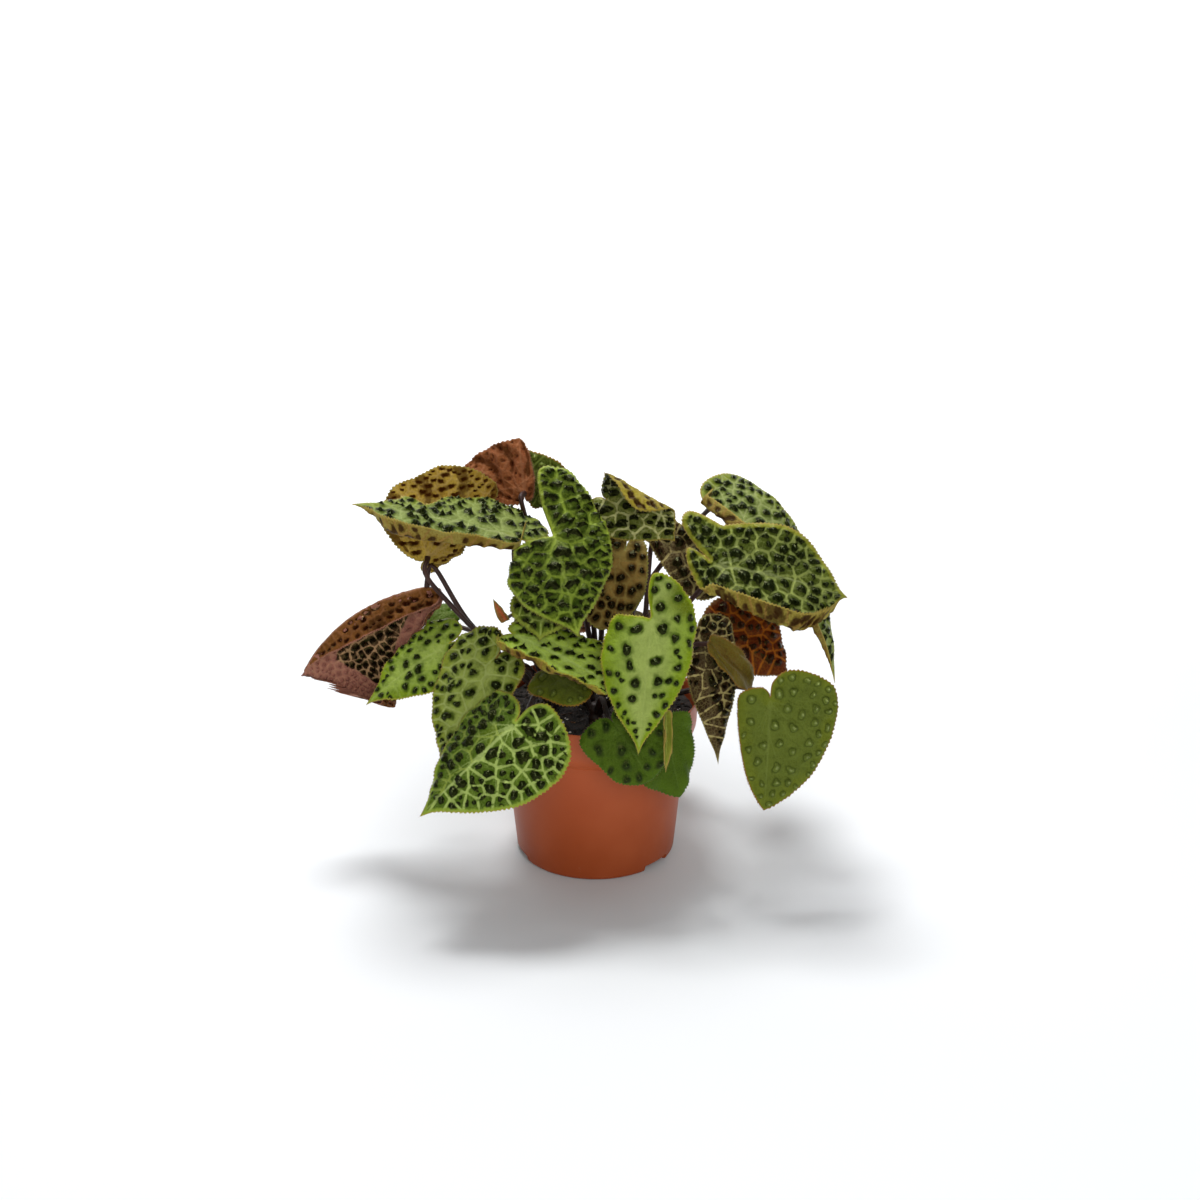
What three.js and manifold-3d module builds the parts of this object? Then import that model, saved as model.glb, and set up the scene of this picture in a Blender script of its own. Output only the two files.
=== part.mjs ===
// Potted begonia with bumpy, heart-shaped leaves, in a plastic nursery pot.
// Millimetres, +Z up. The origin is the centre of the pot's base, on the surface it stands on.
// The front of the plant is towards -Y.

import * as THREE from 'three';
import { mergeVertices } from 'three/addons/utils/BufferGeometryUtils.js';
import Module from 'manifold-3d';

const wasm = await Module();
wasm.setup();

// Driving dimensions of the pot
const RIM_RADIUS = 60;
const POT_HEIGHT = 97;
const BASE_RADIUS = 47.2;
const BODY_TOP_RADIUS = 53.8;
const BAND_HEIGHT = 23.5;
const BAND_STRAIGHT = 15;
const WALL = 1.4;
const FLOOR = 1.8;
const FOOT_ROUND = 2;
const NOTCH_COUNT = 3;
const NOTCH_FIRST = -40;
const NOTCH_WIDTH = 20;
const NOTCH_HEIGHT = 4;
const NOTCH_DEPTH = 11;
const POT_SIDES = 36;

// Driving dimensions of the soil
const SOIL_TOP = 88;
const SOIL_GRAIN = 1.1;
const FIT = 0.3;

// Driving dimensions of the leaves and their stalks
const BLADE = 0.8;
const STALK_RADIUS = 1.35;
const STALK_SIDES = 5;
const STALK_STEPS = 5;
const CONE_HEIGHT = 2.6;
const BUMP_HEIGHT = 1.2;
const RINGS = { large: 6, middle: 5, small: 4 };
const SPOKES = { large: 24, middle: 20, small: 14 };
const SINUS = 0.05;
const ROLL_TURN = 0.4;
const WAVE_TURN = 1.9;

// Colours of the pieces
const TERRACOTTA = 0x9c5038;
const SOIL_BROWN = 0x17120e;
const STALK_RED = 0x4a1c14;
const LEAF_COLOURS = {
  bright: 0x6f9a2c,
  pale: 0x86a860,
  green: 0x4f7a2c,
  olive: 0x66742e,
  dark: 0x335a26,
  rust: 0x8c4a1e,
  brown: 0x5e4426,
  maroon: 0x4c2419,
  tan: 0x9c8434,
  pink: 0x9a5546,
  young: 0x93a34a,
};

const radians = (degrees) => (degrees * Math.PI) / 180;
const vector = (list) => new THREE.Vector3(...list);

// Each leaf hangs on its own stalk. join is where the stalk meets the blade, tip is the end of the
// blade, and face is the way its upper side looks. wide and lobe give the blade's half width and
// how far each lobe reaches back past the join, on the leaf's left and right side, seen from above
// with the tip ahead. swell is the share of the length ahead of the join at which a half is
// widest, blunt rounds its end, from 0, pointed, to 1, an oval, and lean swings both lobes to the
// leaf's right, in degrees. arch bends the blade down towards its tip, back lifts the lobes behind
// the join, fold lifts each half at the midrib, and cup bends it further up to its edge, all in
// degrees. roll turns the outermost share of a half, its margin, up and over. dent is a dip in the
// edge. wave is the height of the waves along the edge. root is the stem stub that the stalk grows
// from, and via a point that the stalk passes.
const USUAL_LEAF = {
  back: 0,
  swell: [0.08, 0.08],
  blunt: 0,
  lean: 0,
  arch: 0,
  fold: [0, 0],
  roll: [0, 0],
  margin: 0.2,
  wave: 0.8,
};

const LEAVES = [
  {
    name: 'leaf_front_left', root: 'left', colour: 'bright', relief: 'cones', size: 'large',
    join: [-44, -80, 112], tip: [-92, -100, 69], face: [-0.1, -0.8, 0.58],
    wide: [38, 28], lobe: [22, 12], lean: 10, arch: 10, fold: [0, -15], cup: [-15, -20],
  },
  {
    name: 'leaf_left_low', root: 'left', colour: 'pale', relief: 'cones', size: 'large',
    join: [-56, -41, 132], tip: [-84, -72, 80], face: [-0.25, -0.8, 0.55],
    wide: [18, 30], lobe: [12, 20], arch: 20, cup: [-20, -20],
  },
  {
    name: 'leaf_left_bright', root: 'left', colour: 'bright', relief: 'cones', size: 'middle',
    join: [-85, -16, 133], tip: [-130, -26, 101], face: [-0.35, -0.65, 0.68],
    wide: [22, 22], lobe: [10, 14], arch: 20, cup: [-20, -20],
  },
  {
    name: 'leaf_left_plain', root: 'left', colour: 'dark', relief: 'plain', size: 'small',
    join: [-88, 24, 139], tip: [-101, 16, 131], face: [0, -0.6, 0.8],
    wide: [9, 9], lobe: [6, 6], arch: 30, cup: [-20, -20], wave: 0.5,
  },
  {
    name: 'leaf_left_long', root: 'left', colour: 'pale', relief: 'cones', size: 'large',
    join: [-44, -17, 197], tip: [-130, -34, 221], face: [0, -0.15, 1], via: [-40, 4, 146],
    wide: [32, 38], lobe: [3, 20], swell: [0.62, 0.05], arch: 10, fold: [-8, 9], cup: [-15, -10],
    roll: [105, 0], margin: 0.34, dent: { side: 1, at: 50, wide: 9, deep: 0.5 }, wave: 1.2,
  },
  {
    name: 'leaf_left_upright', root: 'left', colour: 'tan', relief: 'cones', size: 'middle',
    join: [-96, 8, 178], tip: [-57, 24, 218], face: [-0.3, 0.9, 0.1], via: [-82, 0, 151],
    wide: [14, 43], lobe: [8, 8], swell: [0.25, 0.25], blunt: 1, arch: -30, fold: [5, 5],
    cup: [20, 20], wave: 1.0,
  },
  {
    name: 'leaf_top_pink', root: 'back', colour: 'pink', relief: 'cones', size: 'middle',
    join: [-41, 26, 211], tip: [-44, 38, 241], face: [0.1, 0.95, -0.1], via: [-30, 38, 160],
    wide: [7, 36], lobe: [5, 6], swell: [0.3, 0.62], blunt: 0.7, fold: [5, 5], cup: [20, 20],
    wave: 1.0,
  },
  {
    name: 'leaf_top_small', root: 'back', colour: 'olive', relief: 'cones', size: 'small',
    join: [-28, 36, 208], tip: [-42, 42, 235], face: [-0.2, -0.8, 0.55],
    wide: [12, 18], lobe: [6, 8], arch: 30, cup: [20, 20],
  },
  {
    name: 'leaf_centre_large', root: 'centre', colour: 'green', relief: 'cones', size: 'large',
    join: [-22, -30, 200], tip: [-9, -57, 154], face: [0.1, -0.85, 0.5],
    wide: [31, 31], lobe: [46, 4], swell: [0.08, 0.3], lean: 5, back: 10, arch: 30,
    fold: [0, -10], cup: [-20, -20], wave: 1.2,
  },
  {
    name: 'leaf_centre_under', root: 'centre', colour: 'green', relief: 'cones', size: 'small',
    join: [-26, -29, 167], tip: [-30, -50, 149], face: [-0.1, -0.8, 0.6],
    wide: [20, 20], lobe: [10, 10], swell: [0.25, 0.25], arch: 20, cup: [-10, -10], wave: 1.0,
  },
  {
    name: 'leaf_centre_brown', root: 'right', colour: 'brown', relief: 'cones', size: 'middle',
    join: [16, -10, 186], tip: [2, -30, 148], face: [0.1, -0.8, 0.5],
    wide: [18, 21], lobe: [12, 12], swell: [0.4, 0.4], blunt: 0.8, arch: 20, cup: [10, 10],
    wave: 1.0,
  },
  {
    name: 'leaf_front_cupped', root: 'left', colour: 'bright', relief: 'cones', size: 'large',
    join: [-42, -46, 150], tip: [22, -66, 122], face: [0.15, -0.7, 0.68],
    wide: [24, 22], lobe: [8, 8], swell: [0.55, 0.08], blunt: 0.5, arch: 15, fold: [-20, 10],
    cup: [0, 50], roll: [0, 70], margin: 0.25,
  },
  {
    name: 'leaf_front_right', root: 'front', colour: 'bright', relief: 'cones', size: 'large',
    join: [30, -62, 165], tip: [23, -83, 97], face: [0.05, -0.92, 0.38],
    wide: [25, 25], lobe: [26, 2], swell: [0.08, 0.25], lean: 14, arch: 15, cup: [-20, -20],
    wave: 0.6,
  },
  {
    name: 'leaf_rim_round', root: 'front', colour: 'dark', relief: 'bumps', size: 'middle',
    join: [11, -66, 106], tip: [30, -72, 76], face: [0.05, -0.85, 0.5],
    wide: [24, 22], lobe: [8, 8], swell: [0.25, 0.08], blunt: 1, arch: 20, cup: [-10, -10],
    wave: 0.4,
  },
  {
    name: 'leaf_rim_wavy', root: 'front', colour: 'dark', relief: 'plain', size: 'middle',
    join: [38, -55, 102], tip: [47, -60, 60], face: [0.2, -0.85, 0.45],
    wide: [16, 30], lobe: [5, 5], blunt: 0.5, arch: 10, cup: [-10, -10], wave: 1.5,
  },
  {
    name: 'leaf_right_narrow', root: 'right', colour: 'maroon', relief: 'cones', size: 'middle',
    join: [58, -24, 143], tip: [70, -34, 68], face: [0.25, -0.9, 0.3],
    wide: [20, 12], lobe: [10, 10], arch: 10, cup: [0, 0], wave: 1.0,
  },
  {
    name: 'leaf_right_rust', root: 'right', colour: 'rust', relief: 'cones', size: 'middle',
    join: [66, -8, 140], tip: [112, -8, 110], face: [0.2, -0.85, 0.5],
    wide: [29, 18], lobe: [8, 8], swell: [0.4, 0.08], arch: 15, cup: [-10, -10],
  },
  {
    name: 'leaf_right_plain', root: 'right', colour: 'olive', relief: 'plain', size: 'small',
    join: [64, -41, 144], tip: [88, -34, 118], face: [0.3, -0.6, 0.7], via: [46, -42, 128],
    wide: [9, 14], lobe: [3, 3], swell: [0.5, 0.6], blunt: 0.9, arch: 15, fold: [10, 10],
    cup: [10, 10], wave: 0.4,
  },
  {
    name: 'leaf_right_round', root: 'right', colour: 'olive', relief: 'bumps', size: 'large',
    join: [96, -50, 113], tip: [93, -66, 55], face: [0.15, -0.93, 0.33], via: [72, -19, 110],
    wide: [40, 18], lobe: [18, 8], blunt: 0.5, arch: 10, cup: [-10, -10], wave: 0.3,
  },
  {
    name: 'leaf_right_cupped', root: 'right', colour: 'pale', relief: 'cones', size: 'large',
    join: [65, -40, 188], tip: [136, -45, 172], face: [-0.1, -0.5, 0.85],
    wide: [30, 42], lobe: [22, 17], swell: [0.4, 0.62], lean: -40, arch: 20, fold: [12, -14],
    cup: [20, 10], roll: [0, 150], margin: 0.32,
  },
  {
    name: 'leaf_top_yellow', root: 'back', colour: 'tan', relief: 'cones', size: 'middle',
    join: [8, -2, 214], tip: [44, -20, 196], face: [-0.5, -0.6, 0.6],
    wide: [36, 18], lobe: [9, 10], swell: [0.5, 0.08], arch: 20, cup: [175, 0],
  },
  {
    name: 'leaf_right_drip', root: 'back', colour: 'pale', relief: 'cones', size: 'large',
    join: [66, 10, 208], tip: [138, -10, 108], face: [0.3, -0.6, 0.75],
    wide: [37, 15], lobe: [14, 6], swell: [0.08, 0.2], arch: 60, fold: [0, 20], cup: [-10, 0],
    roll: [0, 130], margin: 0.6, wave: 1.0,
  },
  {
    name: 'leaf_right_maroon', root: 'right', colour: 'maroon', relief: 'cones', size: 'small',
    join: [36, 2, 192], tip: [68, -14, 162], face: [0.1, -0.8, 0.5],
    wide: [16, 13], lobe: [8, 8], swell: [0.3, 0.65], blunt: 0.8, arch: 10, cup: [0, 0],
  },
  {
    name: 'leaf_front_olive', root: 'front', colour: 'olive', relief: 'bumps', size: 'small',
    join: [-26, -34, 124], tip: [-3, -52, 116], face: [0, -0.7, 0.7],
    wide: [16, 16], lobe: [6, 6], blunt: 1, arch: 10, cup: [0, 0], wave: 0.5,
  },
  {
    name: 'leaf_left_hanging', root: 'left', colour: 'pink', relief: 'cones', size: 'large',
    join: [-97, 8, 160], tip: [-170, -7, 111], face: [0, -0.2, -1], via: [-73, 4, 140],
    wide: [76, 15], lobe: [8, 8], swell: [0.85, 0.35], arch: -55, fold: [70, 65], cup: [15, 10],
    roll: [130, 0], margin: 0.3, wave: 1.2,
  },
  {
    name: 'leaf_young_rolled', root: 'front', colour: 'young', relief: 'plain', size: 'small',
    join: [38, -66, 113], tip: [38, -78, 84], face: [0.3, -0.9, 0.1],
    wide: [5, 7], lobe: [2, 2], swell: [0.3, 0.3], arch: 10, fold: [40, 40], cup: [50, 50],
    wave: 0.4,
  },
  {
    name: 'leaf_young_red', root: 'centre', colour: 'pink', relief: 'plain', size: 'small',
    join: [-49, -35, 156], tip: [-56, -35, 168], face: [-0.3, -0.9, 0.1],
    wide: [3.5, 3.5], lobe: [1, 1], swell: [0.1, 0.1], fold: [20, 20], cup: [30, 30], wave: 0,
  },
  {
    name: 'leaf_back_left', root: 'left', colour: 'green', relief: 'cones', size: 'large',
    join: [-18, 60, 154], tip: [-48, 100, 122], face: [-0.35, 0.6, 0.7],
    wide: [28, 26], lobe: [16, 10], swell: [0.1, 0.1], lean: 10, arch: 25, cup: [-20, -20],
  },
  {
    name: 'leaf_back_centre', root: 'back', colour: 'pale', relief: 'cones', size: 'large',
    join: [-6, 56, 172], tip: [6, 104, 134], face: [0.1, 0.6, 0.8],
    wide: [30, 28], lobe: [12, 20], swell: [0.1, 0.1], lean: -10, arch: 25, cup: [-20, -20],
  },
  {
    name: 'leaf_back_right', root: 'right', colour: 'bright', relief: 'cones', size: 'large',
    join: [70, 44, 172], tip: [112, 76, 144], face: [0.4, 0.5, 0.75],
    wide: [26, 28], lobe: [10, 16], swell: [0.1, 0.1], lean: -10, arch: 25, cup: [-20, -20],
  },
  {
    name: 'leaf_back_low_left', root: 'back', colour: 'rust', relief: 'cones', size: 'middle',
    join: [-18, 62, 122], tip: [-38, 98, 86], face: [-0.2, 0.75, 0.6],
    wide: [22, 22], lobe: [10, 10], swell: [0.1, 0.1], arch: 15, cup: [-10, -10],
  },
  {
    name: 'leaf_back_low_right', root: 'back', colour: 'olive', relief: 'bumps', size: 'middle',
    join: [30, 60, 124], tip: [44, 94, 82], face: [0.2, 0.75, 0.6],
    wide: [27, 26], lobe: [10, 10], swell: [0.1, 0.1], arch: 15, cup: [-10, -10], wave: 0.4,
  },
].map((leaf) => ({ ...USUAL_LEAF, ...leaf }));

// The corners of one half of a flat blade, from the tip round to the notch behind the join:
// distance ahead of the join, and half width.
function halfCorners(length, width, lobe, swell, blunt) {
  const ahead = (share) => length * (swell + (1 - swell) * share);
  const shoulder = width * (1.04 - 0.9 * swell);
  return [
    [length, 0],
    [ahead(0.89 + 0.05 * blunt), (0.1 + 0.24 * blunt) * width],
    [ahead(0.65 + 0.05 * blunt), (0.5 + 0.22 * blunt) * width],
    [ahead(0.33), 0.88 * width],
    [ahead(0), width],
    [-0.5 * lobe, 0.97 * shoulder],
    [-0.92 * lobe, 0.62 * shoulder],
    [-0.97 * lobe, 0.22 * shoulder],
    [-0.6 * lobe, 0.03 * shoulder],
    [-SINUS * length, 0],
  ];
}

// The flat outline of one half of a blade, a smooth line through its corners.
function halfOutline(length, width, lobe, swell, blunt) {
  const corners = halfCorners(length, width, lobe, swell, blunt);
  const points = corners.map(([u, v]) => new THREE.Vector3(u, v, 0));
  return new THREE.CatmullRomCurve3(points, false, 'centripetal');
}

// A leaf's own axes and lengths, worked out from its join, tip and facing.
function leafFrame(leaf) {
  const join = vector(leaf.join);
  const chord = vector(leaf.tip).sub(join);
  const along = chord.clone().normalize();
  const up = vector(leaf.face);
  up.addScaledVector(along, -up.dot(along)).normalize();
  const half = radians(leaf.arch) / 2;
  const length = half ? (chord.length() * half) / Math.sin(half) : chord.length();
  const ahead = along.clone().multiplyScalar(Math.cos(half)).addScaledVector(up, Math.sin(half));
  const normal = up.multiplyScalar(Math.cos(half)).addScaledVector(along, -Math.sin(half));
  const left = new THREE.Vector3().crossVectors(normal, ahead);
  const bend = radians(leaf.arch) / length;
  const back = -radians(leaf.back) / length;
  return { join, ahead, normal, left, length, bend, back };
}

// The half width of a blade at u, along the straight sides between its outline's corners.
function halfWidth(leaf, frame, side, u) {
  const { wide, lobe, swell, blunt } = leaf;
  const corners = halfCorners(frame.length, wide[side], lobe[side], swell[side], blunt);
  for (let i = 1; i < corners.length; i += 1) {
    const [near, far] = [corners[i - 1], corners[i]];
    if (u >= far[0]) {
      const share = Math.min(1, Math.max(0, (near[0] - u) / (near[0] - far[0])));
      return Math.max(1, near[1] + (far[1] - near[1]) * share);
    }
  }
  return 1;
}

// How far out and up a strip of this length reaches, starting at an angle and curling evenly.
function sweep(run, angle, curl) {
  if (!curl) return [run * Math.cos(angle), run * Math.sin(angle)];
  const far = angle + curl * run;
  return [(Math.sin(far) - Math.sin(angle)) / curl, (Math.cos(angle) - Math.cos(far)) / curl];
}

// The point of the bent blade over the flat point (u, v).
function bladePoint(leaf, frame, u, v) {
  const { join, ahead, normal, left, bend, back } = frame;
  const side = v >= 0 ? 0 : 1;
  const across = Math.abs(v);
  const bent = u < 0 ? back : bend;
  const turn = bent * u;
  const run = bent ? Math.sin(turn) / bent : u;
  const drop = bent ? (1 - Math.cos(turn)) / bent : 0;
  const fold = radians(leaf.fold[side]);
  const curl = radians(leaf.cup[side]) / leaf.wide[side];
  const wide = halfWidth(leaf, frame, side, u);
  const margin = leaf.margin * wide;
  const flat = leaf.roll[side] ? Math.min(across, wide - margin) : across;
  let [out, lift] = sweep(flat, fold, curl);
  if (across > flat) {
    const turning = Math.min(across - flat, ROLL_TURN * margin);
    const tight = curl + radians(leaf.roll[side]) / (ROLL_TURN * margin);
    const [more, higher] = sweep(turning, fold + curl * flat, tight);
    const end = fold + curl * flat + tight * turning;
    const [last, top] = sweep(across - flat - turning, end, 0);
    [out, lift] = [out + more + last, lift + higher + top];
  }
  return join
    .clone()
    .addScaledVector(ahead, run + lift * Math.sin(turn))
    .addScaledVector(normal, lift * Math.cos(turn) - drop)
    .addScaledVector(left, v >= 0 ? out : -out);
}

// The upward direction of the bent blade at (u, v), from two short steps along it.
function bladeNormal(leaf, frame, u, v) {
  const step = 0.05;
  const side = v >= 0 ? step : -step;
  const here = bladePoint(leaf, frame, u, v);
  const ahead = bladePoint(leaf, frame, u + step, v).sub(here);
  const across = bladePoint(leaf, frame, u, v + side).sub(here);
  const normal = ahead.cross(across).normalize();
  return side > 0 ? normal : normal.negate();
}

// A steady draw from whole numbers, the same on every run.
function draw(a, b, c) {
  const mixed = Math.sin(a * 12.9898 + b * 78.233 + c * 37.719) * 43758.5453;
  return mixed - Math.floor(mixed);
}

// A blade is a fan of rings round its join, alike on both faces. Its cones stand on every other
// crossing of the rings and spokes, so each is a peak with the net of the leaf round it.
function bladeGeometry(leaf, index) {
  const frame = leafFrame(leaf);
  const rings = RINGS[leaf.size];
  const spokes = SPOKES[leaf.size];
  const half = spokes / 2;
  const outlines = [0, 1].map((side) => (
    halfOutline(frame.length, leaf.wide[side], leaf.lobe[side], leaf.swell[side], leaf.blunt)
  ));
  const edge = [];
  for (let spoke = 0; spoke < spokes; spoke += 1) {
    const side = spoke <= half ? 0 : 1;
    const share = side === 0 ? spoke / half : (spokes - spoke) / half;
    const point = outlines[side].getPointAt(share);
    const slip = Math.tan(radians(leaf.lean)) * Math.min(point.x, 0);
    const dent = leaf.dent && leaf.dent.side === side ? leaf.dent.deep : 0;
    const near = dent ? Math.exp(-(((point.x - leaf.dent.at) / leaf.dent.wide) ** 2)) : 0;
    const width = point.y * (1 - dent * near);
    edge.push([point.x, (side === 0 ? width : -width) + slip]);
  }

  const raised = (ring, spoke) =>
    leaf.relief !== 'plain' && ring > 0 && ring < rings && spoke % half !== 0 &&
    (ring + spoke) % (leaf.relief === 'cones' ? 2 : 3) === 0;

  const top = [];
  const under = [];
  const place = (ring, spoke) => {
    const share = ring === rings ? 1 : ((1 - leaf.margin) * ring) / (rings - 1);
    const [u, v] = [edge[spoke][0] * share, edge[spoke][1] * share];
    const point = bladePoint(leaf, frame, u, v);
    const normal = bladeNormal(leaf, frame, u, v);
    const ripple = leaf.wave * share ** 3 * Math.sin(WAVE_TURN * spoke);
    point.addScaledVector(normal, ripple * Math.min(1, Math.abs(v) / 8));
    const full = leaf.relief === 'cones' ? CONE_HEIGHT : BUMP_HEIGHT;
    const room = Math.min(1, Math.hypot(u, v) / 12);
    const height = raised(ring, spoke) ? full * room * (0.75 + 0.5 * draw(index, ring, spoke)) : 0;
    top.push(point.clone().addScaledVector(normal, BLADE / 2 + height));
    under.push(point.clone().addScaledVector(normal, -BLADE / 2 + 0.4 * height));
  };
  place(0, 0);
  for (let ring = 1; ring <= rings; ring += 1) {
    for (let spoke = 0; spoke < spokes; spoke += 1) place(ring, spoke);
  }

  const at = (ring, spoke) => (ring === 0 ? 0 : 1 + (ring - 1) * spokes + (spoke % spokes));
  const faces = [];
  const base = top.length;
  const both = (a, b, c) => {
    faces.push(a, b, c);
    faces.push(base + a, base + c, base + b);
  };
  for (let spoke = 0; spoke < spokes; spoke += 1) both(0, at(1, spoke), at(1, spoke + 1));
  for (let ring = 1; ring < rings; ring += 1) {
    for (let spoke = 0; spoke < spokes; spoke += 1) {
      const [a, b] = [at(ring, spoke), at(ring + 1, spoke)];
      const [c, d] = [at(ring + 1, spoke + 1), at(ring, spoke + 1)];
      if (raised(ring, spoke) || raised(ring + 1, (spoke + 1) % spokes)) {
        both(a, b, d);
        both(b, c, d);
      } else {
        both(a, b, c);
        both(a, c, d);
      }
    }
  }
  for (let spoke = 0; spoke < spokes; spoke += 1) {
    const [a, b] = [at(rings, spoke), at(rings, spoke + 1)];
    faces.push(a, base + a, b);
    faces.push(b, base + a, base + b);
  }
  return meshGeometry([...top, ...under], faces);
}

function meshGeometry(points, faces) {
  const geometry = new THREE.BufferGeometry();
  const flat = points.flatMap((point) => [point.x, point.y, point.z]);
  geometry.setAttribute('position', new THREE.Float32BufferAttribute(flat, 3));
  geometry.setIndex(faces);
  geometry.computeVertexNormals();
  return geometry;
}

// Solids for joining and cutting
function solid(geometry, place = new THREE.Matrix4()) {
  const bare = geometry.clone().applyMatrix4(place);
  bare.deleteAttribute('normal');
  bare.deleteAttribute('uv');
  const merged = mergeVertices(bare, 1e-3);
  return new wasm.Manifold(new wasm.Mesh({
    numProp: 3,
    vertProperties: new Float32Array(merged.attributes.position.array),
    triVerts: new Uint32Array(merged.index.array),
  }));
}

function fromSolid(body) {
  const { vertProperties, triVerts } = body.getMesh();
  const geometry = new THREE.BufferGeometry();
  geometry.setAttribute('position', new THREE.Float32BufferAttribute(vertProperties, 3));
  geometry.setIndex(Array.from(triVerts));
  geometry.computeVertexNormals();
  return geometry;
}

// A lathe turns about +Y, so its solids are stood up to turn about +Z.
function turned(profile) {
  const points = profile.map(([radius, height]) => new THREE.Vector2(radius, height));
  return new THREE.LatheGeometry(points, POT_SIDES).rotateX(Math.PI / 2);
}

const box = (wide, deep, high) => new THREE.BoxGeometry(wide, deep, high);

// The pot: a tapering shell with a tall band under the rim, and a recess at the foot of the
// wall at each drain.
const BAND_BOTTOM = POT_HEIGHT - BAND_HEIGHT;
const outerProfile = [
  [BASE_RADIUS - FOOT_ROUND, 0],
  [BASE_RADIUS - 0.4, 0.7],
  [BASE_RADIUS + 0.2, FOOT_ROUND + 0.8],
  [BODY_TOP_RADIUS, BAND_BOTTOM],
  [BODY_TOP_RADIUS + 2.6, BAND_BOTTOM + 2.2],
  [RIM_RADIUS - 1.3, POT_HEIGHT - BAND_STRAIGHT - 2.4],
  [RIM_RADIUS - 0.4, POT_HEIGHT - BAND_STRAIGHT],
  [RIM_RADIUS, POT_HEIGHT - 0.8],
  [RIM_RADIUS - 0.4, POT_HEIGHT],
];
const innerProfile = [
  [RIM_RADIUS - WALL, POT_HEIGHT],
  [RIM_RADIUS - WALL - 0.4, POT_HEIGHT - BAND_STRAIGHT],
  [RIM_RADIUS - WALL - 1.6, POT_HEIGHT - BAND_STRAIGHT - 3],
  [BODY_TOP_RADIUS - WALL, BAND_BOTTOM - 0.8],
  [BASE_RADIUS - WALL, FLOOR],
];

const notchAngles = Array.from({ length: NOTCH_COUNT }, (_, i) => (
  radians(NOTCH_FIRST + (i * 360) / NOTCH_COUNT)
));

// A block at the foot of the wall, turned to a drain, with grow added on every side.
function drainBlock(angle, grow) {
  const outward = BASE_RADIUS + 6 - (BASE_RADIUS - NOTCH_DEPTH - grow);
  const block = box(outward, NOTCH_WIDTH + 2 * grow, 2 * (NOTCH_HEIGHT + grow));
  const place = new THREE.Matrix4().makeRotationZ(angle);
  place.multiply(new THREE.Matrix4().makeTranslation(BASE_RADIUS + 6 - outward / 2, 0, 0));
  return solid(block, place);
}

function potSolid() {
  const hull = solid(turned([[0, 0], ...outerProfile, [0, POT_HEIGHT]]));
  let hollow = solid(turned([[0, FLOOR], ...innerProfile.toReversed(), [0, POT_HEIGHT + 1]]));
  hollow = hollow.add(solid(turned([
    [0, POT_HEIGHT - 1],
    [RIM_RADIUS - WALL, POT_HEIGHT - 1],
    [RIM_RADIUS - WALL, POT_HEIGHT + 1],
    [0, POT_HEIGHT + 1],
  ])));
  for (const angle of notchAngles) hollow = hollow.subtract(drainBlock(angle, WALL));
  let pot = hull.subtract(hollow);
  for (const angle of notchAngles) pot = pot.subtract(drainBlock(angle, 0));
  return pot;
}

// Stem stubs that rise out of the soil, named by their place. Every stalk starts in one.
const STUB_RADIUS = 4.2;
const STUB_SIDES = 10;
const STUB_TOP = SOIL_TOP + 14;
const STUB_FOOT = SOIL_TOP - 16;
const HOLE_DEPTH = 40;
const ROOTS = {
  centre: [-4, 2],
  left: [-26, -8],
  right: [26, -6],
  front: [0, -26],
  back: [2, 26],
};

function soilSolid() {
  const rise = (radius) => SOIL_TOP + 1.5 - 2.5 * (radius / RIM_RADIUS) ** 2;
  const edge = RIM_RADIUS - WALL - 0.4 - 2 * FIT;
  const rings = 4;
  const dome = [];
  for (let ring = 1; ring <= rings; ring += 1) {
    const radius = (edge * (rings - ring)) / rings;
    dome.push([radius, rise(radius)]);
  }
  const profile = [
    [0, FLOOR + FIT],
    [BASE_RADIUS - WALL - FIT, FLOOR + FIT],
    [BODY_TOP_RADIUS - WALL - FIT, BAND_BOTTOM - 0.8],
    [RIM_RADIUS - WALL - 1.6 - 1.5 * FIT, POT_HEIGHT - BAND_STRAIGHT - 3],
    [edge, POT_HEIGHT - BAND_STRAIGHT],
    [edge, rise(edge)],
    ...dome,
  ];
  const geometry = turned(profile);
  const place = geometry.attributes.position;
  for (let i = 0; i < place.count; i += 1) {
    const [x, y, z] = [place.getX(i), place.getY(i), place.getZ(i)];
    if (z > SOIL_TOP - 2 && Math.hypot(x, y) < edge - 1) {
      const grain = Math.sin(x * 0.71 + 1.3 * Math.cos(y * 0.53)) + Math.cos(y * 0.83 + x * 0.37);
      place.setZ(i, z + (SOIL_GRAIN * grain) / 2);
    }
  }
  let soil = solid(geometry);
  for (const angle of notchAngles) soil = soil.subtract(drainBlock(angle, WALL + FIT));
  const holeRadius = (STUB_RADIUS + FIT) / Math.cos(Math.PI / STUB_SIDES);
  for (const [x, y] of Object.values(ROOTS)) {
    const hole = new THREE.CylinderGeometry(holeRadius, holeRadius, HOLE_DEPTH, STUB_SIDES);
    hole.rotateX(Math.PI / 2);
    const height = STUB_FOOT - FIT + HOLE_DEPTH / 2;
    soil = soil.subtract(solid(hole, new THREE.Matrix4().makeTranslation(x, y, height)));
  }
  return soil;
}

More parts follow.
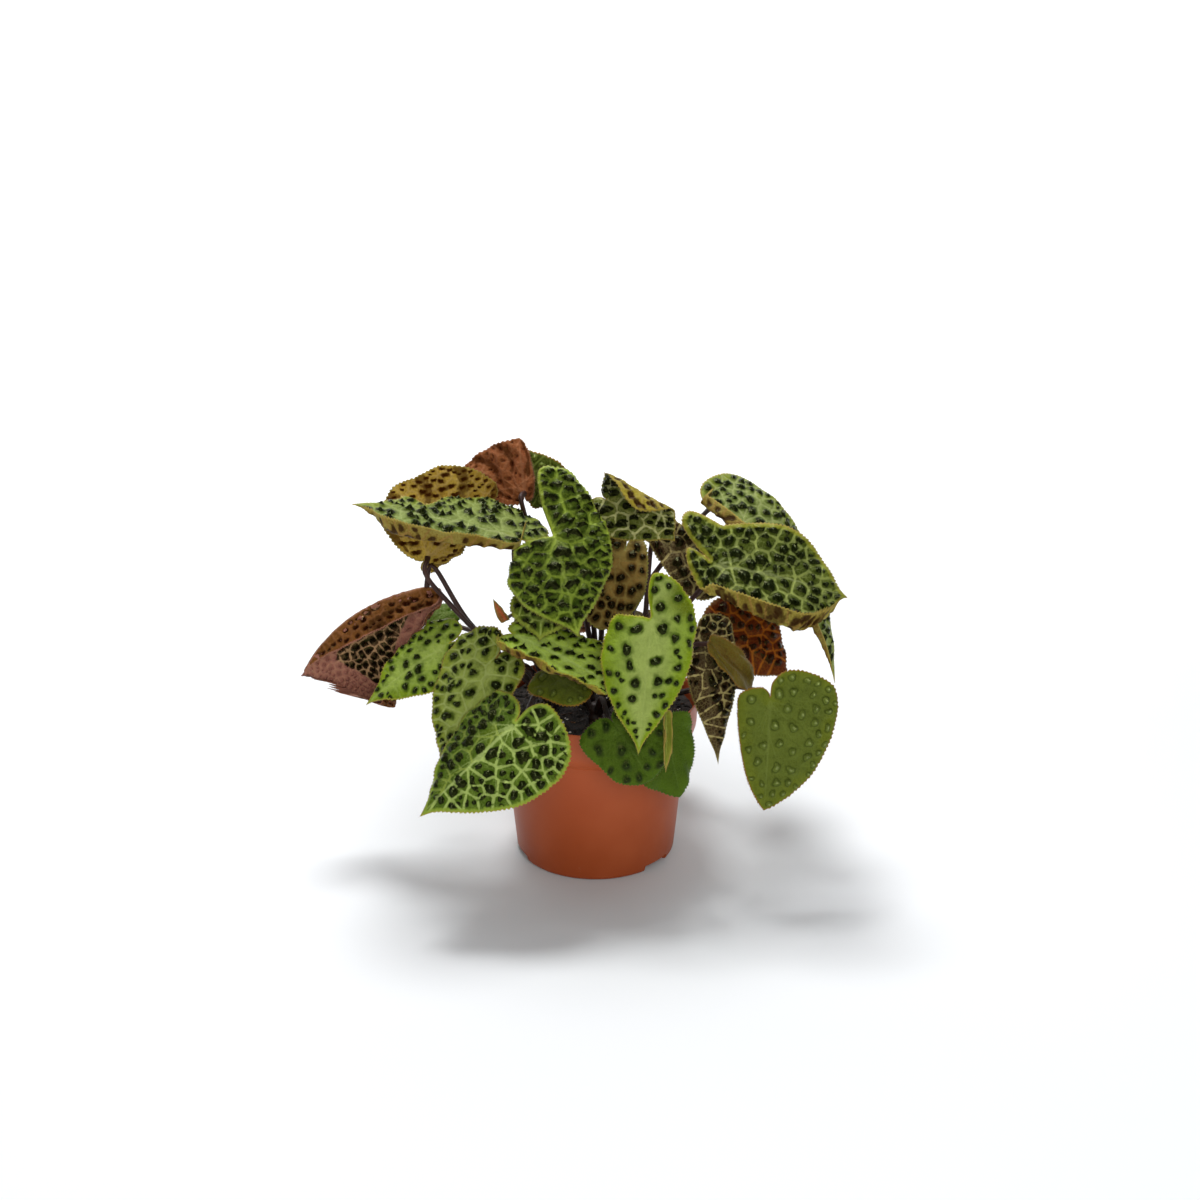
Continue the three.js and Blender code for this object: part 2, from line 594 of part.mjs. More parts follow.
// A stalk or stem: a smooth run of points with a round section, closed at both ends.
function tube(curve, steps, radiusAt, sides) {
  const points = [];
  const faces = [];
  const frames = curve.computeFrenetFrames(steps, false);
  for (let step = 0; step <= steps; step += 1) {
    const centre = curve.getPointAt(step / steps);
    const radius = radiusAt(step / steps);
    for (let side = 0; side < sides; side += 1) {
      const angle = (2 * Math.PI * side) / sides;
      points.push(centre.clone()
        .addScaledVector(frames.normals[step], radius * Math.cos(angle))
        .addScaledVector(frames.binormals[step], radius * Math.sin(angle)));
    }
  }
  const at = (step, side) => step * sides + (side % sides);
  for (let step = 0; step < steps; step += 1) {
    for (let side = 0; side < sides; side += 1) {
      const [a, b] = [at(step, side), at(step, side + 1)];
      const [c, d] = [at(step + 1, side + 1), at(step + 1, side)];
      faces.push(a, b, c, a, c, d);
    }
  }
  for (let side = 1; side < sides - 1; side += 1) {
    faces.push(at(0, 0), at(0, side + 1), at(0, side));
    faces.push(at(steps, 0), at(steps, side), at(steps, side + 1));
  }
  return meshGeometry(points, faces);
}

// The stalk's end lies just under the blade, behind its join, and leans a little to the stem.
function stalkCurve(leaf) {
  const frame = leafFrame(leaf);
  const lean = 0.35;
  const rise = frame.normal.clone().addScaledVector(frame.ahead, lean).normalize();
  const droop = Math.max(0, -leaf.fold[0], -leaf.fold[1]);
  const clear = BLADE / 2 + FIT + STALK_RADIUS * (lean + Math.sin(radians(droop)));
  const end = frame.join.clone().addScaledVector(frame.normal, -clear);
  const before = end.clone().addScaledVector(rise, -12);
  const [x, y] = ROOTS[leaf.root];
  const start = new THREE.Vector3(x, y, SOIL_TOP + 6);
  const middle = leaf.via
    ? vector(leaf.via)
    : start.clone().lerp(before, 0.5).add(new THREE.Vector3(0, 0, 12));
  return new THREE.CatmullRomCurve3([start, middle, before, end], false, 'centripetal');
}

function stemsSolid() {
  let stems = null;
  const join = (body) => {
    stems = stems ? stems.add(body) : body;
  };
  for (const [x, y] of Object.values(ROOTS)) {
    const tall = STUB_TOP - STUB_FOOT;
    const stub = new THREE.CylinderGeometry(STUB_RADIUS - 0.8, STUB_RADIUS, tall, STUB_SIDES);
    stub.rotateX(Math.PI / 2);
    join(solid(stub, new THREE.Matrix4().makeTranslation(x, y, (STUB_TOP + STUB_FOOT) / 2)));
  }
  const lying = SOIL_TOP + 6;
  const centre = new THREE.Vector3(...ROOTS.centre, lying);
  for (const key of ['left', 'right', 'front', 'back']) {
    const far = new THREE.Vector3(...ROOTS[key], lying);
    join(solid(tube(new THREE.LineCurve3(centre, far), 1, () => 2.6, 8)));
  }
  for (const leaf of LEAVES) {
    const taper = (share) => STALK_RADIUS * (1.25 - 0.25 * share);
    join(solid(tube(stalkCurve(leaf), STALK_STEPS, taper, STALK_SIDES)));
  }
  return stems;
}

const finish = (colour, roughness) => new THREE.MeshStandardMaterial({
  color: colour,
  roughness,
  metalness: 0,
});

const plant = new THREE.Group();
function put(name, geometry, material) {
  const mesh = new THREE.Mesh(geometry, material);
  mesh.name = name;
  plant.add(mesh);
}

put('pot', fromSolid(potSolid()), finish(TERRACOTTA, 0.55));
put('soil', fromSolid(soilSolid()), finish(SOIL_BROWN, 0.95));
put('stems', fromSolid(stemsSolid()), finish(STALK_RED, 0.6));
LEAVES.forEach((leaf, index) => {
  put(leaf.name, bladeGeometry(leaf, index), finish(LEAF_COLOURS[leaf.colour], 0.5));
});

export default plant;
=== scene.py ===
# %% [markdown]
# # A potted begonia with bumpy, heart-shaped leaves
# The solids of the plant come in as a fixed frame. This lesson dresses them: every leaf is made
# again with its real relief, the pot, soil and stalks get their fine forms, and each gets its
# finish. The plant's lengths are in millimetres, and become metres as its meshes are built. The
# floor and the lights are in metres.

# %% Load the frame
import math
import random

import bpy
import numpy as np
from mathutils import Matrix, Vector
from mathutils.geometry import delaunay_2d_cdt


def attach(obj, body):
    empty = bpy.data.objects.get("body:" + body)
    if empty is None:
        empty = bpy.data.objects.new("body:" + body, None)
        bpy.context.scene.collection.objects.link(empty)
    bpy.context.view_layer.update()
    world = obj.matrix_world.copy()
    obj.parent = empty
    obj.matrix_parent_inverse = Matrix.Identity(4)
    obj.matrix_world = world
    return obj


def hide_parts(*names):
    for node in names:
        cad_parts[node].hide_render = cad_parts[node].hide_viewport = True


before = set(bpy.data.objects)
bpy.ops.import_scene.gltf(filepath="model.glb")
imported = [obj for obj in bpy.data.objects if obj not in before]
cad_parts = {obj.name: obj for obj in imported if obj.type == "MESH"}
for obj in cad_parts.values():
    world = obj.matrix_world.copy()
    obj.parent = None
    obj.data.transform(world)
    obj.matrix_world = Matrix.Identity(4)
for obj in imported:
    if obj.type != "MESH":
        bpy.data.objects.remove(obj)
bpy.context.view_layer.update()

MM = 0.001
print("solids in the frame:", len(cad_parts))


# %% [markdown]
# ## Camera, floor and light
# The photograph looks down on the pot by about 19 degrees, from a little under a metre. The floor
# could be a plain plane, but its far edge would show as a line. So it is a plane whose back edge
# is pulled up into a wall, with the corner rounded, as in a photo studio.

# %% Camera
def nothing_selected():
    for item in bpy.context.selected_objects:
        item.select_set(False)


CAMERA_AT = (2.7, -784.0, 426.5)
CAMERA_TILT = 70.9
CAMERA_LENS = 43.5
nothing_selected()
bpy.ops.object.camera_add(
    location=[length * MM for length in CAMERA_AT],
    rotation=(math.radians(CAMERA_TILT), 0, 0),
)
camera = bpy.context.object
camera.data.lens = CAMERA_LENS
camera.data.sensor_width = 36
camera.data.clip_start = 0.01
bpy.context.scene.camera = camera
print("camera looks down by", round(90 - CAMERA_TILT, 1), "degrees")


# %% [markdown]
# Modelling by hand goes: select, act, select again. These helpers select by place, so that the
# script can do what a hand would.

# %% Helpers for edit mode
def only(item):
    nothing_selected()
    item.select_set(True)
    bpy.context.view_layer.objects.active = item


def edit(item):
    only(item)
    bpy.ops.object.mode_set(mode="EDIT")


def done():
    bpy.ops.object.mode_set(mode="OBJECT")


def pick_edges(item, wanted):
    """Selects in edit mode the edges whose middle passes the test."""
    bpy.ops.mesh.select_mode(type="EDGE")
    bpy.ops.mesh.select_all(action="DESELECT")
    done()
    corners = item.data.vertices
    for edge in item.data.edges:
        first, second = edge.vertices
        edge.select = wanted((corners[first].co + corners[second].co) / 2)
    bpy.ops.object.mode_set(mode="EDIT")


def resize(item, scale):
    edit(item)
    bpy.ops.mesh.select_all(action="SELECT")
    bpy.ops.transform.resize(value=scale)
    done()


# %% Helpers for whole objects
def add_object(name, data):
    item = bpy.data.objects.new(name, data)
    bpy.context.scene.collection.objects.link(item)
    return item


def apply_all(item):
    only(item)
    for modifier in list(item.modifiers):
        bpy.ops.object.modifier_apply(modifier=modifier.name)


def settle(item):
    """Puts the object at the origin, unturned and unscaled, with its place in its mesh."""
    only(item)
    bpy.ops.object.transform_apply(location=True, rotation=True, scale=True)
    return item


def joined(pieces, name):
    """One object from many, with the first as the active one."""
    nothing_selected()
    for piece in pieces:
        piece.select_set(True)
    bpy.context.view_layer.objects.active = pieces[0]
    bpy.ops.object.join()
    piece = settle(bpy.context.object)
    piece.name = name
    return piece


def belongs(item, slot, *nodes):
    """The piece rides with the plant and stands for its solids. slot is not used."""
    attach(item, "root")
    if nodes:
        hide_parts(*nodes)
    print(f"{item.name}: {len(item.data.polygons)} faces")


# %% [markdown]
# A finish is a web of nodes. Sums on it are easiest to read as plain sums, so a small class wraps
# a socket: adding, taking away or multiplying wrapped sockets lays down the Math nodes. One
# method makes every other node from its type, its settings and the values of its sockets.

# %% Nodes as sums
def hex_colour(text):
    """Turns a colour as a screen shows it into the linear one that the nodes want."""
    parts = [int(text[i:i + 2], 16) / 255 for i in (0, 2, 4)]
    linear = [p / 12.92 if p <= 0.04045 else ((p + 0.055) / 1.055) ** 2.4 for p in parts]
    return (*linear, 1.0)


class Wire:
    def __init__(self, board, socket):
        self.board, self.socket = board, socket

    def sum(self, kind, first, second):
        return self.board.node("ShaderNodeMath", {"operation": kind}, {0: first, 1: second})

    def __add__(self, other):
        return self.sum("ADD", self, other)

    def __sub__(self, other):
        return self.sum("SUBTRACT", self, other)

    def __rsub__(self, other):
        return self.sum("SUBTRACT", other, self)

    def __mul__(self, other):
        return self.sum("MULTIPLY", self, other)


class Board:
    """A material's node web, with its surface shader ready to be fed."""

    def __init__(self, name, **constants):
        self.material = bpy.data.materials.new(name)
        self.material.use_nodes = True
        self.web = self.material.node_tree
        self.shader = self.web.nodes["Principled BSDF"]
        for socket, value in constants.items():
            self.shader.inputs[socket.replace("_", " ")].default_value = value

    def node(self, kind, settings=None, inputs=None, output=0):
        made = self.web.nodes.new(kind)
        for name, value in (settings or {}).items():
            setattr(made, name, value)
        for name, value in (inputs or {}).items():
            self.feed(made.inputs[name], value)
        return Wire(self, made.outputs[output])

    def feed(self, socket, value):
        if isinstance(value, Wire):
            self.web.links.new(value.socket, socket)
        else:
            socket.default_value = value

    def surface(self, **wires):
        for name, wire in wires.items():
            self.feed(self.shader.inputs[name.replace("_", " ")], wire)

    def here(self):
        return self.node("ShaderNodeTexCoord", output="Object")

    def height(self):
        return self.node("ShaderNodeSeparateXYZ", None, {0: self.here()}, 2)

    def noise(self, scale, detail=3.0, roughness=0.5):
        inputs = {"Vector": self.here(), "Scale": scale, "Detail": detail}
        inputs["Roughness"] = roughness
        return self.node("ShaderNodeTexNoise", None, inputs)

    def attribute(self, name):
        return self.node("ShaderNodeAttribute", {"attribute_name": name}, output="Fac")

    def step(self, value, low, high):
        """0 below low, 1 above high, and a soft slope between. It falls if low is above high."""
        ends = (0.0, 1.0) if low < high else (1.0, 0.0)
        inputs = {"Value": value, "From Min": min(low, high), "From Max": max(low, high)}
        inputs.update({"To Min": ends[0], "To Max": ends[1]})
        return self.node("ShaderNodeMapRange", {"interpolation_type": "SMOOTHSTEP"}, inputs)

    def mix(self, share, first, second):
        """A mix of two colours."""
        first, second = (hex_colour(c) if isinstance(c, str) else c for c in (first, second))
        inputs = {0: share, 6: first, 7: second}
        return self.node("ShaderNodeMix", {"data_type": "RGBA"}, inputs, 2)

    def bump(self, height, strength, distance):
        inputs = {"Strength": strength, "Distance": distance, "Height": height}
        return self.node("ShaderNodeBump", None, inputs)


# %% [markdown]
# The floor of the photograph is pure white away from the pot. A faint glow, stronger towards the
# back, keeps it so here, and a ring of a greyer white paints a deeper shadow round the pot.

# %% Floor and backdrop
FLOOR_SIZE = 6.0
BACK_EDGE = 1.9
WALL_HEIGHT = 3.0
CORNER_ROUND = 1.2
SHADOW_RING_OUT, SHADOW_RING_IN = 0.2, 0.06
GLOW_FROM, GLOW_TO = 0.1, 1.6

bpy.ops.mesh.primitive_plane_add(size=FLOOR_SIZE, location=(0, -1.0, 0))
floor = settle(bpy.context.object)
floor.name = "studio_floor"
edit(floor)
pick_edges(floor, lambda middle: middle.y > BACK_EDGE)
bpy.ops.mesh.extrude_region_move(TRANSFORM_OT_translate={"value": (0, 0, WALL_HEIGHT)})
pick_edges(floor, lambda middle: middle.y > BACK_EDGE and abs(middle.z) < 0.01)
bpy.ops.mesh.bevel(offset=CORNER_ROUND, segments=16, affect="EDGES")
done()
only(floor)
bpy.ops.object.shade_smooth()
board = Board("studio_white", Roughness=0.75)
tint = board.mix(board.noise(2.0, 2.0), "F4F7FA", "F7F9FB")
from_pot = board.node("ShaderNodeVectorMath", {"operation": "LENGTH"}, {0: board.here()}, 1)
# A ring of greyer white round the pot: painted shadow.
tint = board.mix(board.step(from_pot, SHADOW_RING_OUT, SHADOW_RING_IN), tint, "D8DDDF")
back = board.node("ShaderNodeSeparateXYZ", None, {0: board.here()}, 1)
glow = board.mix(board.step(back, GLOW_FROM, GLOW_TO), "000000", "D0D0D0")
board.surface(Base_Color=tint, Emission_Color=glow)
board.shader.inputs["Emission Strength"].default_value = 1.0
floor.data.materials.append(board.material)
print("floor faces:", len(floor.data.polygons))


# %% [markdown]
# The shadows in the photograph are soft and lie almost straight under the leaves, a little in
# front. So the main light is a broad panel overhead, a little behind the plant and to its left. A
# second, wider panel in front fills the pot's wall, and a pale sky lights the rest.

# %% Lights
SKY_STRENGTH = 0.21


def panel(name, place, aim, wide, watts):
    nothing_selected()
    bpy.ops.object.light_add(type="AREA", location=place)
    light = bpy.context.object
    light.name = name
    light.data.shape = "DISK"
    light.data.size = wide
    light.data.energy = watts
    light.rotation_euler = (Vector(place) - Vector(aim)).to_track_quat("Z", "Y").to_euler()
    print(f"{name}: {watts} watts over {wide} m")


panel("overhead", (-0.2, 0.42, 1.6), (0, 0, 0.12), 0.5, 19)
panel("front_fill", (0.3, -1.8, 1.1), (0, 0, 0.1), 1.2, 15.5)
sky = bpy.data.worlds.new("pale_sky")
sky.use_nodes = True
sky.node_tree.nodes["Background"].inputs["Color"].default_value = (1, 1, 1, 1)
sky.node_tree.nodes["Background"].inputs["Strength"].default_value = SKY_STRENGTH
bpy.context.scene.world = sky
bpy.context.scene.view_settings.view_transform = "Standard"


# %% [markdown]
# ## The leaves
# Each leaf is a lopsided heart on its own stalk. Its outline, bend, fold, cup and rolled margin
# are the ones of the solid, so the values are repeated here. join is where the stalk meets the
# blade, tip is its end, and face is the way its upper side looks. The pairs are for the leaf's
# left and right half, seen from above with the tip ahead. wide is the half width, lobe how far
# the half reaches back behind the join, cup how far it curls to its edge, and fold its tilt at the
# midrib. roll turns the outer share, margin, of a half over. swell moves the widest place ahead,
# blunt rounds the tip, arch bends the midrib down and back the lobes, lean slants the lobes, wave
# is the height of the edge's long waves, and dent a bay in it. The stalk passes through via. The
# size of a leaf sets how many spokes its waves are counted on.

# %% Values of the leaves
USUAL_LEAF = dict(
    back=0, swell=(0.08, 0.08), blunt=0, lean=0, arch=0, fold=(0, 0), roll=(0, 0), margin=0.2,
    wave=0.8, dent=None, via=None,
)
LEAVES = []


def grow(short, kind, join, tip, face, wide, lobe, cup, **own):
    """Adds a leaf. kind says which stem it is on, its colour, its relief and its size."""
    root, colour, relief, size = kind.split()
    leaf = dict(USUAL_LEAF, short=short, name="leaf_" + short, root=root, colour=colour)
    leaf.update(relief=relief, size=size, join=join, tip=tip, face=face, wide=wide, lobe=lobe)
    LEAVES.append({**leaf, "cup": cup, **own})


grow("front_left", "left bright cones large", (-44, -80, 112), (-92, -100, 69), (-0.1, -0.8, 0.58),
     (38, 28), (22, 12), (-15, -20), lean=10, arch=10, fold=(0, -15))
grow("left_low", "left pale cones large", (-56, -41, 132), (-84, -72, 80), (-0.25, -0.8, 0.55), (18, 30),
     (12, 20), (-20, -20), arch=20)
grow("left_bright", "left bright cones middle", (-85, -16, 133), (-130, -26, 101), (-0.35, -0.65, 0.68),
     (22, 22), (10, 14), (-20, -20), arch=20)
grow("left_plain", "left dark plain small", (-88, 24, 139), (-101, 16, 131), (0, -0.6, 0.8), (9, 9),
     (6, 6), (-20, -20), arch=30, wave=0.5)
grow("left_long", "left pale cones large", (-44, -17, 197), (-130, -34, 221), (0, -0.15, 1), (32, 38),
     (3, 20), (-15, -10), via=(-40, 4, 146), swell=(0.62, 0.05), arch=10, fold=(-8, 9), roll=(105, 0),
     margin=0.34, dent=dict(side=1, at=50, wide=9, deep=0.5), wave=1.2)
grow("left_upright", "left tan cones middle", (-96, 8, 178), (-57, 24, 218), (-0.3, 0.9, 0.1), (14, 43),
     (8, 8), (20, 20), via=(-82, 0, 151), swell=(0.25, 0.25), blunt=1, arch=-30, fold=(5, 5), wave=1.0)
grow("top_pink", "back pink cones middle", (-41, 26, 211), (-44, 38, 241), (0.1, 0.95, -0.1), (7, 36),
     (5, 6), (20, 20), via=(-30, 38, 160), swell=(0.3, 0.62), blunt=0.7, fold=(5, 5), wave=1.0)
grow("top_small", "back olive cones small", (-28, 36, 208), (-42, 42, 235), (-0.2, -0.8, 0.55), (12, 18),
     (6, 8), (20, 20), arch=30)
grow("centre_large", "centre green cones large", (-22, -30, 200), (-9, -57, 154), (0.1, -0.85, 0.5),
     (31, 31), (46, 4), (-20, -20), swell=(0.08, 0.3), lean=5, back=10, arch=30, fold=(0, -10), wave=1.2)
grow("centre_under", "centre green cones small", (-26, -29, 167), (-30, -50, 149), (-0.1, -0.8, 0.6),
     (20, 20), (10, 10), (-10, -10), swell=(0.25, 0.25), arch=20, wave=1.0)
grow("centre_brown", "right brown cones middle", (16, -10, 186), (2, -30, 148), (0.1, -0.8, 0.5),
     (18, 21), (12, 12), (10, 10), swell=(0.4, 0.4), blunt=0.8, arch=20, wave=1.0)
grow("front_cupped", "left bright cones large", (-42, -46, 150), (22, -66, 122), (0.15, -0.7, 0.68),
     (24, 22), (8, 8), (0, 50), swell=(0.55, 0.08), blunt=0.5, arch=15, fold=(-20, 10), roll=(0, 70),
     margin=0.25)
grow("front_right", "front bright cones large", (30, -62, 165), (23, -83, 97), (0.05, -0.92, 0.38),
     (25, 25), (26, 2), (-20, -20), swell=(0.08, 0.25), lean=14, arch=15, wave=0.6)
grow("rim_round", "front dark bumps middle", (11, -66, 106), (30, -72, 76), (0.05, -0.85, 0.5), (24, 22),
     (8, 8), (-10, -10), swell=(0.25, 0.08), blunt=1, arch=20, wave=0.4)
grow("rim_wavy", "front dark plain middle", (38, -55, 102), (47, -60, 60), (0.2, -0.85, 0.45), (16, 30),
     (5, 5), (-10, -10), blunt=0.5, arch=10, wave=1.5)
grow("right_narrow", "right maroon cones middle", (58, -24, 143), (70, -34, 68), (0.25, -0.9, 0.3),
     (20, 12), (10, 10), (0, 0), arch=10, wave=1.0)
grow("right_rust", "right rust cones middle", (66, -8, 140), (112, -8, 110), (0.2, -0.85, 0.5), (29, 18),
     (8, 8), (-10, -10), swell=(0.4, 0.08), arch=15)
grow("right_plain", "right olive plain small", (64, -41, 144), (88, -34, 118), (0.3, -0.6, 0.7), (9, 14),
     (3, 3), (10, 10), via=(46, -42, 128), swell=(0.5, 0.6), blunt=0.9, arch=15, fold=(10, 10), wave=0.4)
grow("right_round", "right olive bumps large", (96, -50, 113), (93, -66, 55), (0.15, -0.93, 0.33),
     (40, 18), (18, 8), (-10, -10), via=(72, -19, 110), blunt=0.5, arch=10, wave=0.3)
grow("right_cupped", "right pale cones large", (65, -40, 188), (136, -45, 172), (-0.1, -0.5, 0.85),
     (30, 42), (22, 17), (20, 10), swell=(0.4, 0.62), lean=-40, arch=20, fold=(12, -14), roll=(0, 150),
     margin=0.32)
grow("top_yellow", "back tan cones middle", (8, -2, 214), (44, -20, 196), (-0.5, -0.6, 0.6), (36, 18),
     (9, 10), (175, 0), swell=(0.5, 0.08), arch=20)
grow("right_drip", "back pale cones large", (66, 10, 208), (138, -10, 108), (0.3, -0.6, 0.75), (37, 15),
     (14, 6), (-10, 0), swell=(0.08, 0.2), arch=60, fold=(0, 20), roll=(0, 130), margin=0.6, wave=1.0)
grow("right_maroon", "right maroon cones small", (36, 2, 192), (68, -14, 162), (0.1, -0.8, 0.5), (16, 13),
     (8, 8), (0, 0), swell=(0.3, 0.65), blunt=0.8, arch=10)
grow("front_olive", "front olive bumps small", (-26, -34, 124), (-3, -52, 116), (0, -0.7, 0.7), (16, 16),
     (6, 6), (0, 0), blunt=1, arch=10, wave=0.5)
grow("left_hanging", "left pink cones large", (-97, 8, 160), (-170, -7, 111), (0, -0.2, -1), (76, 15),
     (8, 8), (15, 10), via=(-73, 4, 140), swell=(0.85, 0.35), arch=-55, fold=(70, 65), roll=(130, 0),
     margin=0.3, wave=1.2)
grow("young_rolled", "front young plain small", (38, -66, 113), (38, -78, 84), (0.3, -0.9, 0.1), (5, 7),
     (2, 2), (50, 50), swell=(0.3, 0.3), arch=10, fold=(40, 40), wave=0.4)
grow("young_red", "centre pink plain small", (-49, -35, 156), (-56, -35, 168), (-0.3, -0.9, 0.1),
     (3.5, 3.5), (1, 1), (30, 30), swell=(0.1, 0.1), fold=(20, 20), wave=0)
grow("back_left", "left green cones large", (-18, 60, 154), (-48, 100, 122), (-0.35, 0.6, 0.7), (28, 26),
     (16, 10), (-20, -20), swell=(0.1, 0.1), lean=10, arch=25)
grow("back_centre", "back pale cones large", (-6, 56, 172), (6, 104, 134), (0.1, 0.6, 0.8), (30, 28),
     (12, 20), (-20, -20), swell=(0.1, 0.1), lean=-10, arch=25)
grow("back_right", "right bright cones large", (70, 44, 172), (112, 76, 144), (0.4, 0.5, 0.75), (26, 28),
     (10, 16), (-20, -20), swell=(0.1, 0.1), lean=-10, arch=25)
grow("back_low_left", "back rust cones middle", (-18, 62, 122), (-38, 98, 86), (-0.2, 0.75, 0.6),
     (22, 22), (10, 10), (-10, -10), swell=(0.1, 0.1), arch=15)
grow("back_low_right", "back olive bumps middle", (30, 60, 124), (44, 94, 82), (0.2, 0.75, 0.6), (27, 26),
     (10, 10), (-10, -10), swell=(0.1, 0.1), arch=15, wave=0.4)
BLADE = 0.8
SINUS = 0.05
ROLL_TURN = 0.4
WAVE_TURN = 1.9
SPOKES = {"large": 24, "middle": 20, "small": 14}
print("leaves:", len(LEAVES))


# %% [markdown]
# A smooth line through given corners can be a Bezier or a Catmull-Rom curve. The second goes
# through every corner and needs no handles, so the outline and the stalks use it.

# %% A smooth line through corners
def smooth_line(corners, steps=24):
    """A Catmull-Rom line through the corners, with steps points on each stretch."""
    points = [np.array(corner, float) for corner in corners]
    points = [2 * points[0] - points[1], *points, 2 * points[-1] - points[-2]]
    line = []
    for p0, p1, p2, p3 in zip(points, points[1:], points[2:], points[3:]):
        gaps = [np.linalg.norm(b - a) ** 0.5 for a, b in ((p0, p1), (p1, p2), (p2, p3))]
        middle = gaps[1] if gaps[1] > 1e-4 else 1.0
        first, last = (gap if gap > 1e-4 else middle for gap in (gaps[0], gaps[2]))
        leave = (p1 - p0) / first - (p2 - p0) / (first + middle) + (p2 - p1) / middle
        reach = (p2 - p1) / middle - (p3 - p1) / (middle + last) + (p3 - p2) / last
        leave, reach = leave * middle, reach * middle
        for step in range(steps):
            t = step / steps
            bow = (2 * p1 - 2 * p2 + leave + reach) * t ** 3
            bow = bow + (3 * p2 - 3 * p1 - 2 * leave - reach) * t ** 2
            line.append(p1 + leave * t + bow)
    line.append(points[-2])
    return np.array(line)


def even_points(line, count):
    """The points that cut a line into count equal lengths, ends included."""
    lengths = np.linalg.norm(np.diff(line, axis=0), axis=1)
    along = np.concatenate([[0], np.cumsum(lengths)])
    wanted = np.linspace(0, along[-1], count + 1)
    return np.column_stack([np.interp(wanted, along, column) for column in line.T])


# %% [markdown]
# The flat blade is bent in space: down towards its tip, up or down at the midrib, further up to
# its edge, and some margins roll over. A lattice or a hook could do it by hand, but then the leaf
# would not follow its solid. So the same sums bend every point of the flat blade.

# %% Outline and directions of a leaf
def half_corners(length, width, lobe, swell, blunt):
    """Corners of half a heart, from the tip round the lobe to the join, as shares of its sizes."""
    def ahead(share):
        return length * (swell + (1 - swell) * share)

    shoulder = width * (1.04 - 0.9 * swell)
    return [
        (length, 0),
        (ahead(0.89 + 0.05 * blunt), (0.1 + 0.24 * blunt) * width),
        (ahead(0.65 + 0.05 * blunt), (0.5 + 0.22 * blunt) * width),
        (ahead(0.33), 0.88 * width),
        (ahead(0), width),
        (-0.5 * lobe, 0.97 * shoulder),
        (-0.92 * lobe, 0.62 * shoulder),
        (-0.97 * lobe, 0.22 * shoulder),
        (-0.6 * lobe, 0.03 * shoulder),
        (-SINUS * length, 0),
    ]


def unit(way):
    return way / np.linalg.norm(way)


def leaf_frame(leaf):
    """Where a blade stands: its three directions, length, bends and two half outlines."""
    join = np.array(leaf["join"], float)
    chord = np.array(leaf["tip"], float) - join
    along = unit(chord)
    up = np.array(leaf["face"], float)
    up = unit(up - along * (up @ along))
    half = math.radians(leaf["arch"]) / 2
    length = np.linalg.norm(chord) * (half / math.sin(half) if half else 1)
    ahead = along * math.cos(half) + up * math.sin(half)
    normal = up * math.cos(half) - along * math.sin(half)
    halves = []
    for side in (0, 1):
        shape = (leaf["wide"][side], leaf["lobe"][side], leaf["swell"][side], leaf["blunt"])
        halves.append(smooth_line(half_corners(length, *shape)))
    return dict(
        join=join, ahead=ahead, normal=normal, left=np.cross(normal, ahead), length=length,
        bend=math.radians(leaf["arch"]) / length, back=-math.radians(leaf["back"]) / length,
        halves=halves,
    )


def half_width(line, u):
    """The half width at u, along the part of the outline that still runs backwards."""
    last = int(np.argmin(line[:, 0]))
    run = line[:last + 1][::-1]
    return np.maximum(1.0, np.interp(u, run[:, 0], run[:, 1]))


def reach_across(place, flat):
    """Each flat point's own half width."""
    wide = [half_width(line, flat[:, 0]) for line in place["halves"]]
    return np.where(flat[:, 1] >= 0, wide[0], wide[1])


# %% From the flat blade to the bent one
STILL = 1e-9


def sweep(run, angle, curl):
    """How far out and up a strip of this length reaches, curling evenly from an angle."""
    if np.all(np.abs(curl) < STILL):
        return run * np.cos(angle), run * np.sin(angle)
    far = angle + curl * run
    return (np.sin(far) - np.sin(angle)) / curl, (np.cos(angle) - np.cos(far)) / curl


def bent(leaf, place, flat):
    """The points in space over the flat points (u, v)."""
    u, v = flat[:, 0], flat[:, 1]
    across = np.abs(v)
    out, lift = np.zeros_like(u), np.zeros_like(u)
    for side in (0, 1):
        on = v >= 0 if side == 0 else v < 0
        if not on.any():
            continue
        fold = math.radians(leaf["fold"][side])
        curl = math.radians(leaf["cup"][side]) / leaf["wide"][side]
        wide = half_width(place["halves"][side], u[on])
        margin = leaf["margin"] * wide
        roll = math.radians(leaf["roll"][side])
        level = np.minimum(across[on], wide - margin) if roll else across[on]
        reach, rise = sweep(level, fold, curl)
        if roll:
            turning = np.minimum(across[on] - level, ROLL_TURN * margin)
            tight = curl + roll / (ROLL_TURN * margin)
            more, higher = sweep(turning, fold + curl * level, tight)
            end = fold + curl * level + tight * turning
            last = across[on] - level - turning
            reach = reach + more + last * np.cos(end)
            rise = rise + higher + last * np.sin(end)
        out[on], lift[on] = reach, rise
    bow = np.where(u < 0, place["back"], place["bend"])
    straight = np.abs(bow) < STILL
    turn = bow * u
    safe = np.where(straight, 1.0, bow)
    run = np.where(straight, u, np.sin(turn) / safe)
    drop = np.where(straight, 0.0, (1 - np.cos(turn)) / safe)
    ahead, up = run + lift * np.sin(turn), lift * np.cos(turn) - drop
    sideways = np.where(v >= 0, out, -out)
    return (place["join"] + ahead[:, None] * place["ahead"] + up[:, None] * place["normal"]
            + sideways[:, None] * place["left"])


def upward(leaf, place, flat):
    """The upward direction of the bent blade, from two short steps along it."""
    step = 0.05
    side = np.where(flat[:, 1] >= 0, step, -step)
    here = bent(leaf, place, flat)
    ahead = bent(leaf, place, flat + (step, 0)) - here
    across = bent(leaf, place, flat + np.column_stack([np.zeros(len(flat)), side])) - here
    way = np.cross(ahead, across) * np.sign(side)[:, None]
    return way / np.linalg.norm(way, axis=1)[:, None]


